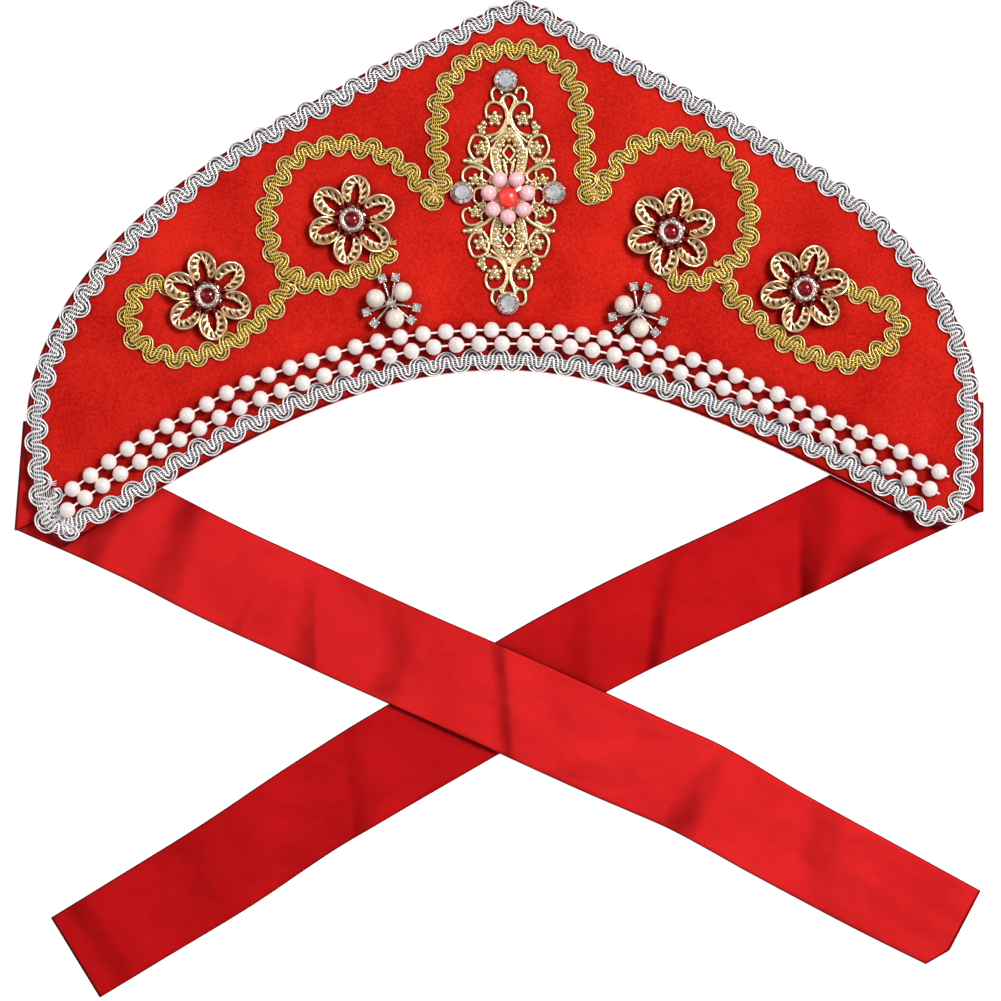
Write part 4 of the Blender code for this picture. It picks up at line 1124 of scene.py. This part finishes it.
def makeSpray(side, centre, turn):
    pot = newPot()
    base, wire = sprayShape["base"], sprayShape["wire"]
    pearl, stone, bead = sprayShape["pearl"], sprayShape["stone"], sprayShape["bead"]
    addPart(pot, *turned(sprayShape["hub"], 16, (*centre, 0)))
    claspedStone(pot, centre, turn + 20, *sprayShape["middle"].values())
    for third in range(3):
        heading = turn + 120 * third
        seat = polar(centre, pearl["reach"], heading)
        bow = polar(centre, pearl["reach"] / 2, heading)
        arm = [(*centre, base + 0.9), (*bow, base + 0.7), (*seat, base + 0.9)]
        addPart(pot, *tubeAlong(curvePoints(arm, 4), wire, 8))
        addPart(pot, *turned(sprayShape["cap"], 20, (*seat, 0)))
        pearlPot = newPot()
        addPart(pearlPot, *ball((*seat, pearl["height"]), pearl["radius"], 32, 16))
        tail = side + "_" + str(third + 1)
        buildPiece("sprayPearl_" + tail, pearlPot, [creamPearlFinish], ["spray_pearl_" + tail])
        for extra in stone["turns"]:
            out = heading + extra
            spot, bow = polar(centre, stone["reach"], out), polar(centre, stone["bow"], out)
            arm = [(*centre, base + 1.2), (*bow, base + 1.3), (*spot, base + 1.0)]
            addPart(pot, *tubeAlong(curvePoints(arm, 5), wire, 8))
            addPart(pot, *ball((*polar(centre, bead["reach"], out), bead["height"]), bead["radius"], 10, 8))
            claspedStone(pot, spot, out, stone["base"], stone["top"], stone["size"])
    finishes = [silverMetal, foilStone]
    buildPiece("spraySetting_" + side, pot, finishes, ["spray_setting_" + side])


for spraySide, (*spraySpot, sprayTurn) in sprayShape["places"].items():
    makeSpray(spraySide, spraySpot, sprayTurn)
print("sprays set")


# Stage, light and camera

stageLook = {"size": 6.0, "drop": 0.02, "tone": (0.40, 0.40, 0.40), "glow": 0.90}


def makeStage():
    mesh = bpy.data.meshes.new("floor")
    size, tone = stageLook["size"], stageLook["tone"]
    corners = [(-size, -size, 0), (size, -size, 0), (size, size, 0), (-size, size, 0)]
    mesh.from_pydata(corners, [], [range(4)])
    paper = mottled(
        "paleFloor", (tone, tuple(c + 0.02 for c in tone)), 40, (300, 0.01),
        {"Roughness": 0.9, "Specular IOR Level": 0.1, "Emission Color": (1, 1, 1, 1),
         "Emission Strength": stageLook["glow"]},
    )
    mesh.materials.append(paper)
    floor = bpy.data.objects.new("floor", mesh)
    floor.location.z = -stageLook["drop"] * mm
    bpy.context.scene.collection.objects.link(floor)


lightSet = {  # soft lights, each aimed at the middle of the piece
    "key": {"place": (2.5, 1.5, 4.3), "size": 1.5, "watts": 270.0, "tint": (1.0, 0.985, 0.97)},
    "fill": {"place": (-1.6, 0.6, 1.4), "size": 1.4, "watts": 9.0, "tint": (0.97, 0.985, 1.0)},
    "glint": {"place": (1.5, -0.7, 1.7), "size": 0.40, "watts": 6.0, "tint": (1.0, 1.0, 1.0)},
}
skyTones = ((0.35, 0.04), (0.97, 0.52))  # height above the horizon, tone


def makeLights():
    for name, look in lightSet.items():
        light = bpy.data.lights.new(name, "AREA")
        light.shape = "SQUARE"
        light.size = look["size"]
        light.energy = look["watts"]
        light.color = look["tint"]
        lamp = bpy.data.objects.new(name, light)
        lamp.location = look["place"]
        lamp.rotation_euler = (-Vector(look["place"])).to_track_quat("-Z", "Y").to_euler()
        bpy.context.scene.collection.objects.link(lamp)
    world = bpy.data.worlds.new("studio")
    bpy.context.scene.world = world
    world.use_nodes = True
    tree = world.node_tree
    texture = addNode(tree, "ShaderNodeTexCoord")
    way = addNode(tree, "ShaderNodeSeparateXYZ", Vector=texture.outputs["Generated"])
    sky = addNode(tree, "ShaderNodeValToRGB", Fac=way.outputs["Z"])  # dim at the horizon, bright overhead
    for element, (height, tone) in zip(sky.color_ramp.elements, skyTones):
        element.position = height
        element.color = (tone, tone, tone, 1)
    feed(tree, tree.nodes["Background"].inputs["Color"], sky.outputs["Color"])


cameraLook = {"lens": 200.0, "sensor": 36.0, "width": 375.4, "aim": (0.19, 0.0, 6.6)}


def makeCamera():
    lens = bpy.data.cameras.new("photoCamera")
    lens.lens = cameraLook["lens"]
    lens.sensor_width = cameraLook["sensor"]
    x, y, z = cameraLook["aim"]
    camera = bpy.data.objects.new("photoCamera", lens)
    above = cameraLook["width"] * cameraLook["lens"] / cameraLook["sensor"]
    camera.location = Vector((x, y, z + above)) * mm  # straight above, with the panel's peak up
    bpy.context.scene.collection.objects.link(camera)
    bpy.context.scene.camera = camera
    bpy.context.scene.view_settings.view_transform = "Standard"


makeStage()
makeLights()
makeCamera()
print("stage, lights and camera ready")
